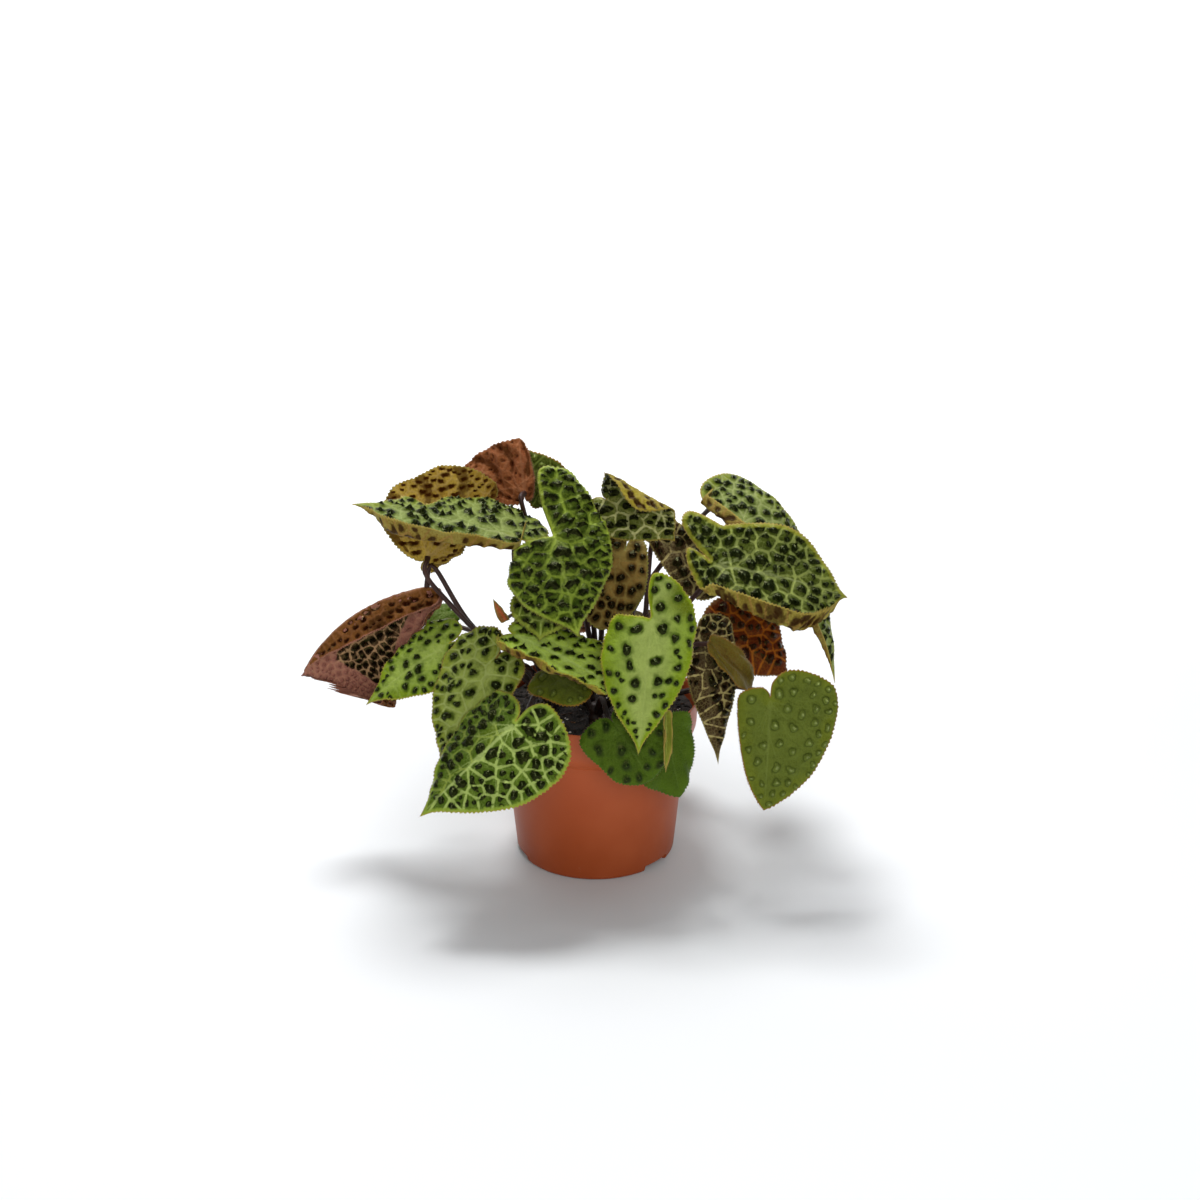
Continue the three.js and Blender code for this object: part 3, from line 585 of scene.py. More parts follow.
# %% [markdown]
# The flat outline is the edge that the bent blade ends in. On the real leaf it is finely toothed,
# so points are spread evenly round it, and moved out and in by turns once a blade is made.

# %% The flat outline
TOOTH = 0.32
TOOTH_PITCH = 2.1
FEWEST = 12


def line_length(line):
    return np.linalg.norm(np.diff(line, axis=0), axis=1).sum()


def flat_edge(leaf, place, count):
    """One closed run of points round the flat blade, count of them in each half, tip first."""
    runs = []
    for side in (0, 1):
        line = even_points(place["halves"][side], count)
        dent = leaf["dent"]
        if dent and dent["side"] == side:
            near = np.exp(-(((line[:, 0] - dent["at"]) / dent["wide"]) ** 2))
            line[:, 1] *= 1 - dent["deep"] * near
        if side == 1:
            line[:, 1] *= -1
        line[:, 1] += math.tan(math.radians(leaf["lean"])) * np.minimum(line[:, 0], 0)
        runs.append(line)
    return np.vstack([runs[0], runs[1][::-1][1:-1]])


def edge_and_outward(leaf, place, gap):
    """The edge with points about this far apart, and the outward way at each."""
    size = sum(line_length(line) for line in place["halves"])
    edge = flat_edge(leaf, place, max(FEWEST, round(size / gap)))
    out = edge - edge.mean(axis=0)
    return edge, out / np.linalg.norm(out, axis=1)[:, None]


def around(leaf, place, flat):
    """Each flat point's share of the way out to the edge, and its place round the edge."""
    spokes = SPOKES[leaf["size"]]
    edge = flat_edge(leaf, place, 200)
    angles = np.unwrap(np.arctan2(edge[:, 1], edge[:, 0]))
    angles = np.maximum.accumulate(angles - angles[0])
    reach = np.linalg.norm(edge, axis=1)
    turn = np.mod(np.arctan2(flat[:, 1], flat[:, 0]), 2 * math.pi)
    far = np.interp(turn, angles, reach)
    spoke = np.interp(turn, angles, np.linspace(0, spokes, len(edge), endpoint=False))
    return np.clip(np.linalg.norm(flat, axis=1) / far, 0, 1), spoke


# %% Which points are inside, and how far off a line
def inside(points, edge):
    """True for each point inside a closed run, counting the crossings to its right."""
    x, y = points[:, 0:1], points[:, 1:2]
    ax, ay = edge[:, 0], edge[:, 1]
    bx, by = np.roll(ax, -1), np.roll(ay, -1)
    spans = (ay > y) != (by > y)
    with np.errstate(divide="ignore", invalid="ignore"):
        meets = ax + (y - ay) * (bx - ax) / (by - ay)
    return (spans & (x < meets)).sum(axis=1) % 2 == 1


def line_gap(points, line, closed=False):
    """The distance of each point to the nearest part of a line."""
    starts = line if closed else line[:-1]
    ends = np.roll(line, -1, axis=0) if closed else line[1:]
    ways = ends - starts
    sizes = np.maximum((ways ** 2).sum(axis=1), 1e-9)
    shares = ((points[:, None, :] - starts) * ways).sum(axis=2) / sizes
    nearest = starts + np.clip(shares, 0, 1)[:, :, None] * ways
    return np.linalg.norm(points[:, None, :] - nearest, axis=2).min(axis=1)


# %% [markdown]
# Pale main veins fan out from the join to the edge, and fork on the way. They are lines on the
# flat blade, wide at the join and thin at the edge.

# %% The main veins
VEIN_PLACES = (0.15, 0.29, 0.45, 0.66)
FORK_AT = 0.55
MIDRIB = (1.3, 0.4)
SIDE_VEIN = (0.6, 0.22)
FORK = (0.25, 0.12)
SHORTEST_VEIN = 7
SHORTEST_FORKED = 18


def main_veins(leaf, place, draw):
    """Lines on the flat blade, each with its half width at the start and at the end."""
    edge = flat_edge(leaf, place, 100)
    tip = edge[0]
    veins = [(np.linspace((0, 0), tip * 0.96, 40), *MIDRIB)]
    for side in (0, 1):
        for share in VEIN_PLACES:
            share += 0.03 * (draw.random() - 0.5)
            index = round(share * 100) if side == 0 else round(-share * 100)
            end = edge[index] * (0.93 if share < 0.6 else 0.86)
            if np.linalg.norm(end) < SHORTEST_VEIN:
                continue
            start = tip * 0.3 if share < 0.2 else np.array([0.0, 0.0])
            middle = (start + end) / 2 + (tip - end) * (0.07 + 0.04 * draw.random())
            line = smooth_line([start, middle, end], 16)
            veins.append((line, *SIDE_VEIN))
            if np.linalg.norm(end - start) < SHORTEST_FORKED:
                continue
            for way in (-1, 1):
                fork = line[int(len(line) * (FORK_AT + 0.14 * way * draw.random()))]
                far = edge[(index + way * (5 + round(2 * draw.random()))) % len(edge)] * 0.9
                bow = (fork + far) / 2 + (tip - far) * 0.05
                veins.append((smooth_line([fork, bow, far], 10), *FORK))
    return veins


# %% [markdown]
# The small cells between the veins each hold one cone, or a pair. Cells are large in the middle
# of the blade and small near its edge. They are drawn one by one: a place is kept if it is far
# enough from the edge, the veins and all the places kept before.

# %% Places of the cones
TRIES = 60
BARE_MIDDLE = 4


def cone_places(leaf, look, place, edge, veins, draw):
    """Rows of (u, v, foot radius, height, cell number, direction and two shares of its shape)."""
    low, high = edge.min(axis=0), edge.max(axis=0)
    area = np.prod(high - low)
    darts = low + draw.random_sample((int(TRIES * area / look["pitch"] ** 2), 2)) * (high - low)
    darts = darts[inside(darts, edge)]
    share, _ = around(leaf, place, darts)
    rim = line_gap(darts, edge, True)
    vein = np.min([line_gap(darts, line) - 0.6 * wide for line, wide, _ in veins], axis=0)
    space = look["pitch"] * (1.12 - 0.5 * share ** 3)
    foot = 0.5 * min(look["foot"], 0.8) * space
    keep = (rim > foot + 0.5) & (vein > 0.7 * foot) & (np.linalg.norm(darts, axis=1) > BARE_MIDDLE)
    kept, spaces, cones = [], [], []
    level = math.atan2(place["left"][0], place["ahead"][0])

    def grown(spot, size, tall, cell):
        shape = [draw.random() * 2 * math.pi, 0.3 * draw.random(), 0.16 * draw.random()]
        if look["stretch"]:
            shape[:2] = level + 0.5 * (draw.random() - 0.5), look["stretch"]
        cones.append((*spot, size, tall, cell, *shape))

    for index in np.nonzero(keep)[0]:
        if kept:
            gaps = np.linalg.norm(np.array(kept) - darts[index], axis=1)
            if np.any(gaps < 0.5 * (space[index] + np.array(spaces)) * 0.88):
                continue
        kept.append(darts[index])
        spaces.append(space[index])
    for cell, (spot, gap) in enumerate(zip(kept, spaces)):
        size = 0.5 * look["foot"] * gap * (0.82 + 0.36 * draw.random())
        tall = look["tall"] * (0.55 + 0.45 * gap / look["pitch"]) * (0.75 + 0.5 * draw.random())
        if draw.random() < look["pairs"]:
            way = draw.random() * 2 * math.pi
            step = 0.92 * size * np.array([math.cos(way), math.sin(way)])
            first = 0.62 + 0.2 * draw.random()
            grown(spot + step, size * first, tall * 0.9, cell)
            grown(spot - step, size * (1.35 - first), tall * 0.7, cell)
        else:
            grown(spot, size, tall, cell)
    return np.array(cones)


def cone_reach(cones, angles):
    """The foot radius of cones in a direction: no real one is quite round."""
    turned = angles - cones[:, 5]
    return cones[:, 2] * (1 + cones[:, 6] * np.cos(2 * turned) + cones[:, 7] * np.cos(3 * turned + 1))


def cone_gaps(points, cones):
    """The distance of each point to each cone, in that cone's own foot radii."""
    ways = points[:, None, :] - cones[:, :2]
    angles = np.arctan2(ways[:, :, 1], ways[:, :, 0])
    return np.linalg.norm(ways, axis=2) / cone_reach(cones, angles)


# %% [markdown]
# The flat blade is filled with points: the toothed edge, the veins, a few rings on each cone, and
# an even scatter between. A triangulation joins them. A grid with a displacement map could carry
# the relief too, but only points on the cones themselves give sharp tips.

# %% Points of the flat blade
CONE_SIDES = 7
FINE_GAP = 0.75
CONE_RINGS = (1.0, 0.66, 0.36, 0.13)
CONE_SHAPE = ((0, 0.13, 0.36, 0.66, 1.0, 1.3), (1.0, 0.82, 0.52, 0.25, 0.07, 0.0))


def rolled(leaf, place, flat, early=0.0):
    """True where the margin is rolled over, or as early as this before it."""
    side = np.where(flat[:, 1] >= 0, 0, 1)
    result = np.zeros(len(flat), bool)
    for half in (0, 1):
        if leaf["roll"][half]:
            wide = half_width(place["halves"][half], flat[:, 0])
            start = wide * (1 - leaf["margin"]) - early
            result |= (side == half) & (np.abs(flat[:, 1]) > start)
    return result


def spread(points, gap):
    """The points that keep a gap from all kept before them."""
    kept = []
    for point in points:
        if not kept or np.min(np.linalg.norm(np.array(kept) - point, axis=1)) > gap:
            kept.append(point)
    return np.array(kept).reshape(-1, 2)


def flat_points(leaf, place, edge, veins, cones, pitch, draw):
    """The edge, an even fill that is finer where the margin rolls, the veins and the cones."""
    low, high = edge.min(axis=0), edge.max(axis=0)
    parts = []
    for gap, fine in ((pitch, False), (FINE_GAP, True)):
        rows = []
        for row, v in enumerate(np.arange(low[1], high[1], gap * 0.866)):
            u = np.arange(low[0] + 0.5 * gap * (row % 2), high[0], gap)
            rows.append(np.column_stack([u, np.full(len(u), v)]))
        grid = np.vstack(rows)
        grid = grid[rolled(leaf, place, grid, 1.0) == fine]
        if len(grid):
            grid = grid[inside(grid, edge)]
        if len(grid):
            grid += (draw.random_sample(grid.shape) - 0.5) * 0.3 * gap
            parts.append(grid[line_gap(grid, edge, True) > 0.6 * gap])
    fill = np.vstack(parts)
    for line, _, _ in veins:
        fill = fill[line_gap(fill, line) > 0.5 * pitch]
    if len(cones):
        fill = fill[cone_gaps(fill, cones).min(axis=1) > 1.25]
    run = [even_points(line, max(2, round(line_length(line) / pitch))) for line, _, _ in veins]
    run = spread(np.vstack(run), 0.45 * pitch)
    run = run[inside(run, edge)]
    run = run[line_gap(run, edge, True) > 0.5 * pitch]
    dots = [cones[:, :2]] if len(cones) else []
    for cone in cones:
        for ring, share in enumerate(CONE_RINGS):
            angles = (np.arange(CONE_SIDES) + 0.5 * ring) * 2 * math.pi / CONE_SIDES
            ways = np.column_stack([np.cos(angles), np.sin(angles)])
            reach = np.array([cone_reach(cone[None, :], angle)[0] for angle in angles])
            dots.append(cone[:2] + share * reach[:, None] * ways)
    return np.vstack([edge, fill, run, *dots])


# %% [markdown]
# The relief comes next. Between the net the blade is puffed up, the cones rise to dark points,
# and the veins are sunk above and stand out below. Under each cone the lower face is hollow.
# What the finish needs to know is kept on the corners: how far each is from a cone, from the net,
# from a vein and from the edge, and whether it is on the lower face. A blade without cones or net
# counts as FAR from them.

# %% Relief of the margin and of the cones
FRILL_TURN = 4.3
CALM_MIDDLE = 8
FAR = 9.0


def off_midrib(flat):
    """0 at the midrib, and 1 well beside it."""
    return np.minimum(1, np.abs(flat[:, 1]) / CALM_MIDDLE)


def frilled(height, flat, share, spoke):
    """The small waves of the margin, which the solids leave out."""
    waves = np.sin(FRILL_TURN * spoke + 1.7 * np.sin(0.83 * spoke))
    return height * waves * share ** 5 * off_midrib(flat)


def vein_mark(points, line, start, end):
    """1 on a stout vein, falling off beside it and along it as the vein thins out."""
    length = max(np.linalg.norm(line[-1] - line[0]), 1e-6)
    along = np.clip(np.linalg.norm(points - line[0], axis=1) / length, 0, 1)
    wide = start + (end - start) * along
    return np.minimum(1, wide / 0.7) * np.exp(-((line_gap(points, line) / wide) ** 2))


def cone_relief(leaf, look, place, edge, flat, cones, draw):
    """Each point's distance to a cone and to the net, its cell's tone, its rise, hollow and lean."""
    count = len(flat)
    far_off, zeros = np.full(count, FAR), np.zeros(count)
    if not len(cones):
        return far_off, far_off, np.full(count, 0.5), zeros, zeros, np.zeros((count, 2))
    gaps = cone_gaps(flat, cones)
    nearest = gaps.argmin(axis=1)
    cell = gaps.min(axis=1)
    rise = np.interp(cell, *CONE_SHAPE)
    edge_gap = line_gap(cones[:, :2], edge, True)
    tall = (cones[:, 3] * np.minimum(1, 0.35 + edge_gap / look["low_rim"]))[nearest]
    leans = 0.55 * (draw.random_sample((len(cones), 2)) - 0.5)
    lean = leans[nearest] * (rise ** 2 * tall)[:, None]
    numbers = cones[:, 4].astype(int)
    centres = np.array([cones[numbers == n, :2].mean(axis=0) for n in range(numbers.max() + 1)])
    tones = draw.random_sample(len(centres))
    far = np.linalg.norm(flat[:, None, :] - centres, axis=2)
    net = far_off
    if len(centres) > 1:
        first, second = np.argsort(far, axis=1)[:, :2].T
        rows = np.arange(count)
        apart = np.linalg.norm(centres[first] - centres[second], axis=1)
        net = (far[rows, second] ** 2 - far[rows, first] ** 2) / (2 * apart)
    hollow = look["hollow"] * tall * np.maximum(0, 1 - cell ** 2) ** 2
    flatter = np.where(rolled(leaf, place, flat, 1.5), 0.3, 1.0)
    return cell, net, tones[far.argmin(axis=1)], rise * tall * flatter, hollow * flatter, lean


# %% Mesh of one blade
LEAF_SEED = 500
PLEATS = 15
TOOTHLESS = 3
VEIN_SUNK, VEIN_PROUD = 0.3, 0.7
CALM_RIM = 2.5
NET_WIDTH = 1.1


def closed_skin(name, top, under, faces, marks):
    """A closed mesh of an upper and a lower layer, with the marks kept on the corners of both."""
    base = len(top)
    used = dict.fromkeys(pair for a, b, c in faces for pair in ((a, b), (b, c), (c, a)))
    walls = [(b, a, a + base, b + base) for a, b in used if (b, a) not in used]
    lower = [(a + base, c + base, b + base) for a, b, c in faces]
    mesh = bpy.data.meshes.new(name)
    mesh.from_pydata((np.vstack([top, under]) * MM).tolist(), [], faces + lower + walls)
    marks = {mark: np.tile(values, 2) for mark, values in marks.items()}
    marks["under"] = np.repeat([0.0, 1.0], base)
    for mark, values in marks.items():
        layer = mesh.attributes.new(mark, "FLOAT", "POINT")
        layer.data.foreach_set("value", values.astype(np.float32))
    mesh.update()
    return mesh


def leaf_mesh(leaf, look, index):
    """The mesh of a blade, and how many cones stand on it."""
    draw = np.random.RandomState(LEAF_SEED + index)
    place = leaf_frame(leaf)
    edge, out = edge_and_outward(leaf, place, TOOTH_PITCH)
    by_turns = np.where(np.arange(len(edge)) % 2, 1, -1)
    teeth = TOOTH * by_turns * (0.5 + draw.random_sample(len(edge)))
    teeth[np.abs(edge[:, 1]) < TOOTHLESS] = 0
    edge = edge + out * teeth[:, None] * look["teeth"]
    veins = main_veins(leaf, place, draw)
    cones = np.zeros((0, 8))
    if leaf["relief"] != "plain":
        cones = cone_places(leaf, look, place, edge, veins, draw)
    points = flat_points(leaf, place, edge, veins, cones, look["grain"], draw)
    sides = [(a, (a + 1) % len(edge)) for a in range(len(edge))]
    made = delaunay_2d_cdt([Vector(p) for p in points], sides, [], 1, 1e-5)
    flat = np.array([tuple(p) for p in made[0]])
    faces = [tuple(face) for face in made[2] if len(face) == 3]

    share, spoke = around(leaf, place, flat)
    rim = line_gap(flat, edge, True)
    vein = np.max([vein_mark(flat, *line) for line in veins], axis=0)
    relief = cone_relief(leaf, look, place, edge, flat, cones, draw)
    cell, net, tone, height, hollow, lean = relief
    ripple = leaf["wave"] * share ** 3 * np.sin(WAVE_TURN * spoke)
    ripple *= off_midrib(flat)
    ripple += frilled(look["frill"], flat, share, spoke)
    fan = np.arctan2(flat[:, 1], flat[:, 0] + 6)
    crease = np.sin(PLEATS * fan + 1.2 * np.sin(7 * share)) * np.minimum(1, share * 1.6)
    ripple += look["pleat"] * crease * np.minimum(1, rim / 4)
    up = upward(leaf, place, flat)
    surface = bent(leaf, place, flat) + up * ripple[:, None]
    calm = np.minimum(1, rim / CALM_RIM)
    puff = look["puff"] * calm * (1 - np.exp(-((net / NET_WIDTH) ** 2)))
    thick = 0.5 * BLADE * np.minimum(1, 0.35 + rim / 2)
    above = thick + puff + height - VEIN_SUNK * vein * calm
    below = -thick + 0.9 * puff + hollow - VEIN_PROUD * vein * calm
    slant = lean[:, :1] * place["ahead"] + lean[:, 1:] * place["left"]
    top = surface + up * above[:, None] + slant
    under = surface + up * below[:, None]
    marks = dict(
        cell=cell, net=net, vein=vein, rim=rim, tone=tone,
        mid=np.abs(flat[:, 1]) / reach_across(place, flat),
        left=np.clip(0.5 + flat[:, 1] / 1.5, 0, 1),
        far=flat[:, 0] / place["length"], crease=crease,
    )
    return closed_skin(leaf["name"], top, under, faces, marks), len(cones)


# %% [markdown]
# ## The leaf finishes
# Each blade is painted by what its corners know. Above, the field is paler between the cones and
# yellower towards the edge, the net and the veins are pale, and the cones are nearly black, with a
# dark ring at their foot that is partly their own colour and partly painted shade, and a pale tip
# that is a painted highlight. Below, the blade is tan or pink, with brown hollows under the cones,
# partly painted shade, and on pleated blades painted shade along the creases. Tones are as a screen
# shows them.

# %% Tones
# Of these tones, tip is a painted highlight on each cone. halo is the dark of the cells, the clouds and
# the ring round each cone, that ring partly painted shade. hollow is the dark below: in specks and
# clouds, painted shade along the creases, and partly painted shade in the hollows under the cones.
TONES = dict(
    bright=dict(field="8AA23A", edge="7E9618", halo="3E5410", net="90A450", vein="A2B260", rim="A09A38",
        cone="0C1402", tip="7E8C58", under="8C8232", mottle="765C22", hollow="381A08", rib="946838",
        other="5C680C"),
    pale=dict(field="92A058", edge="8A962E", halo="40500F", net="98A266", vein="A4AC74", rim="A69246",
        cone="0C1402", tip="7A8A60", under="988A44", mottle="806628", hollow="361808", rib="9C7040",
        other="5C680C"),
    green=dict(field="66781E", edge="74861E", halo="34440C", net="94A648", vein="9AAA50", rim="8E963C",
        cone="080C02", tip="6E7C44", under="86803A", mottle="6E5A24", hollow="321808", rib="885E30",
        other="4C5C10"),
    olive=dict(field="5E6A26", edge="66701E", halo="3A4610", net="6E7C36", vein="7E8A44", rim="8A6626",
        cone="626F2C", tip="929F5C", under="847A36", mottle="6E5A24", hollow="3E2E12", rib="885E30",
        other="4C5C10"),
    dark=dict(field="3E560F", edge="466012", halo="20340A", net="4C6624", vein="586E30", rim="48661E",
        cone="16260A", tip="42581E", under="687030", mottle="5A5824", hollow="2C2410", rib="6A5230",
        other="38520F"),
    rust=dict(field="943F10", edge="904A18", halo="5C1C0C", net="B0641E", vein="8C5424", rim="7A5426",
        cone="2C0806", tip="6A301A", under="805230", mottle="6A3E20", hollow="321008", rib="7E4E30",
        other="54260A"),
    brown=dict(field="8A6A34", edge="8A743C", halo="3E240C", net="8C7A44", vein="84703C", rim="86803E",
        cone="120502", tip="4E3820", under="846A30", mottle="684A20", hollow="321408", rib="7E5A30",
        other="5C4418"),
    maroon=dict(field="6A523A", edge="806A48", halo="301810", net="B8AA70", vein="8A7C58", rim="8A7C48",
        cone="100402", tip="54402C", under="805436", mottle="643E22", hollow="32100A", rib="805434",
        other="4C3824"),
    tan=dict(field="8A8E3C", edge="928E3C", halo="485016", net="BEBE70", vein="94944E", rim="94823A",
        cone="0A0C02", tip="6E7040", under="90803A", mottle="78601F", hollow="381C08", rib="9A8444",
        other="4C5016"),
    pink=dict(field="946E50", edge="8A6448", halo="24140A", net="AE8A66", vein="86704C", rim="92644A",
        cone="0E0602", tip="5C4836", under="76462C", mottle="643820", hollow="3C1608", rib="86563A",
        other="5E4A2E"),
    young=dict(field="7E8A2E", edge="8E9438", halo="5E6C1E", net="98A24C", vein="A2A858", rim="A08A44",
        cone="4A5818", tip="98A04C", under="98923E", mottle="8C7A38", hollow="5E5020", rib="9C8450",
        other="7E8A2E"),
)
print("sets of tones:", len(TONES))


# %% [markdown]
# The tones are laid over each other like glazes, each by its own share of every place. The shares
# come from the distances to the cone, net, vein and edge, made uneven by noise. The cones' dark
# goes on last, but leaves the net free.

# %% The finish of one blade
def leaf_finish(name, tones, look):
    board = Board(name, Specular_IOR_Level=0.24, Specular_Tint=(0.82, 0.9, 0.25, 1))
    cell, net, vein = (board.attribute(kind) for kind in ("cell", "net", "vein"))
    rim, tone, under = (board.attribute(kind) for kind in ("rim", "tone", "under"))
    mid, left, far = (board.attribute(kind) for kind in ("mid", "left", "far"))
    noise, step = board.noise, board.step
    patches, clouds, specks = noise(55, 3), noise(150, 4, 0.6), noise(900, 4, 0.65)
    wide = patches - 0.5
    smear = noise(330, 3) - 0.5
    fine = specks - 0.5
    mesh_gap = {"Vector": board.here(), "Scale": 520.0}
    lattice = board.node("ShaderNodeTexVoronoi", {"feature": "DISTANCE_TO_EDGE"}, mesh_gap)
    uneven = tone * 0.3 + 0.75
    right = 1 - left

    def glazed(colour, *glazes):
        for share, over in glazes:
            colour = board.mix(share, colour, tones[over])
        return colour

    lines = step(net + smear * look["squiggle"], look["line"], look["line"] * 0.3)
    lines = lines * (1 - right * look["other"] * 0.85) * look["net"]
    above = glazed(
        tones["field"],
        (step(rim + wide * 16, 9, 1.5), "edge"),
        (right * look["other"], "other"),
        (step(far + wide * 0.3, 0.02, -0.1) * look["lobes"], "other"),
        (step(mid + wide * 0.7, 0.75, 0.15) * look["zone"], "vein"),
        (step(clouds, 0.42, 0.7) * look["clouds"], "halo"),
        (step(net + smear * 1.2, 0.3, 0.8) * look["fill"] * uneven, "halo"),
        (step(lattice, 0.1, 0.02) * 0.22, "net"),
        # The dark ring round each cone: partly the leaf's own dark, partly painted shade at the cone's
        # foot.
        (step(cell + smear * 1.1, look["halo"], 0.95) * uneven, "halo"),
        (lines, "net"),
        (step(vein + smear * 0.7, 0.25, 0.95) * look["vein"], "vein"),
        (step(cell + smear * look["ragged"], 1.04, 0.82) * (1 - lines), "cone"),
        # A pale tip on each cone: a painted highlight.
        (step(cell + fine * 0.2, look["top"], look["top"] * 0.4) * look["point"], "tip"),
    )
    if look["border"]:
        band = step(rim + smear * 3, look["border"] + 0.7, look["border"] - 0.7)
        above = glazed(above, (band * 0.85, "border" if "border" in tones else "edge"))
    above = glazed(above, (step(rim + fine * 0.5, 0.8, 0.2), "rim"))

    below = glazed(
        tones["under"],
        (step(patches + fine * 0.5, 0.35, 0.65), "mottle"),
        (step(net + smear * 1.2, 1.0, 0.1) * 0.5, "rib"),
        (step(specks, 0.45, 0.8) * 0.3, "hollow"),
        (step(clouds, 0.45, 0.75) * 0.35, "hollow"),
    )
    # Painted shade along the creases of the lower face.
    if look["pleat"]:
        crease_shade = step(board.attribute("crease") + smear * 1.6, 0.35, 0.9)
        below = glazed(below, (crease_shade * 0.75, "hollow"))
    below = glazed(
        below,
        # Dark in the hollows under the cones: partly the lower face's own brown, partly painted shade.
        (step(cell + smear * 1.4, 1.25, 0.6) * look["pits"], "hollow"),
        (step(vein, 0.3, 0.8) * 0.6, "rib"),
        (step(rim, 0.8, 0.2), "rim"),
    )

    colour = board.mix(under, above, below)
    gloss = step(cell, 1.2, 0.7) * -0.2 + fine * 0.25 + under * 0.2 + look["rough"]
    ripple = specks * 0.4 + noise(260, 2) * 0.8 + step(lattice, 0.0, 0.25) * 0.35
    board.surface(Base_Color=colour, Roughness=gloss, Normal=board.bump(ripple, 0.5, 0.0007))
    return board.material


# %% [markdown]
# Leaves differ in their cones, their net and their margin. A look holds a leaf's own values, and
# all else is as usual. Of the cones, pitch is the usual distance of the cells, foot the share of
# it that a foot takes, tall the height, pairs the share of cells that hold two, stretch how oblong
# a foot is, low_rim how far from the edge they stay lower, and hollow their depth below. Of the
# blade, puff is its rise between the net, teeth the size of its teeth, grain the spacing of its
# points, and frill and pleat the heights of small waves and of creases, which are darkened on the
# lower face as painted shade. Of the paint, halo is how far the dark round a cone reaches, that
# dark partly the leaf's own and partly painted shade at the cone's foot, ragged how uneven a cone's
# edge is, point the strength and top the size of its tip, a pale painted highlight, pits the brown
# of the hollows below, partly painted shade, and fill the dark of the cells. net and vein are the
# strengths of the pale lines, line is the net's width and squiggle its waviness.
# clouds are dark patches, border is the width of a band along the edge in a tone of its own, rough
# the dullness, zone lightens the middle, and lobes and other give the lobes and the right half
# another tone.

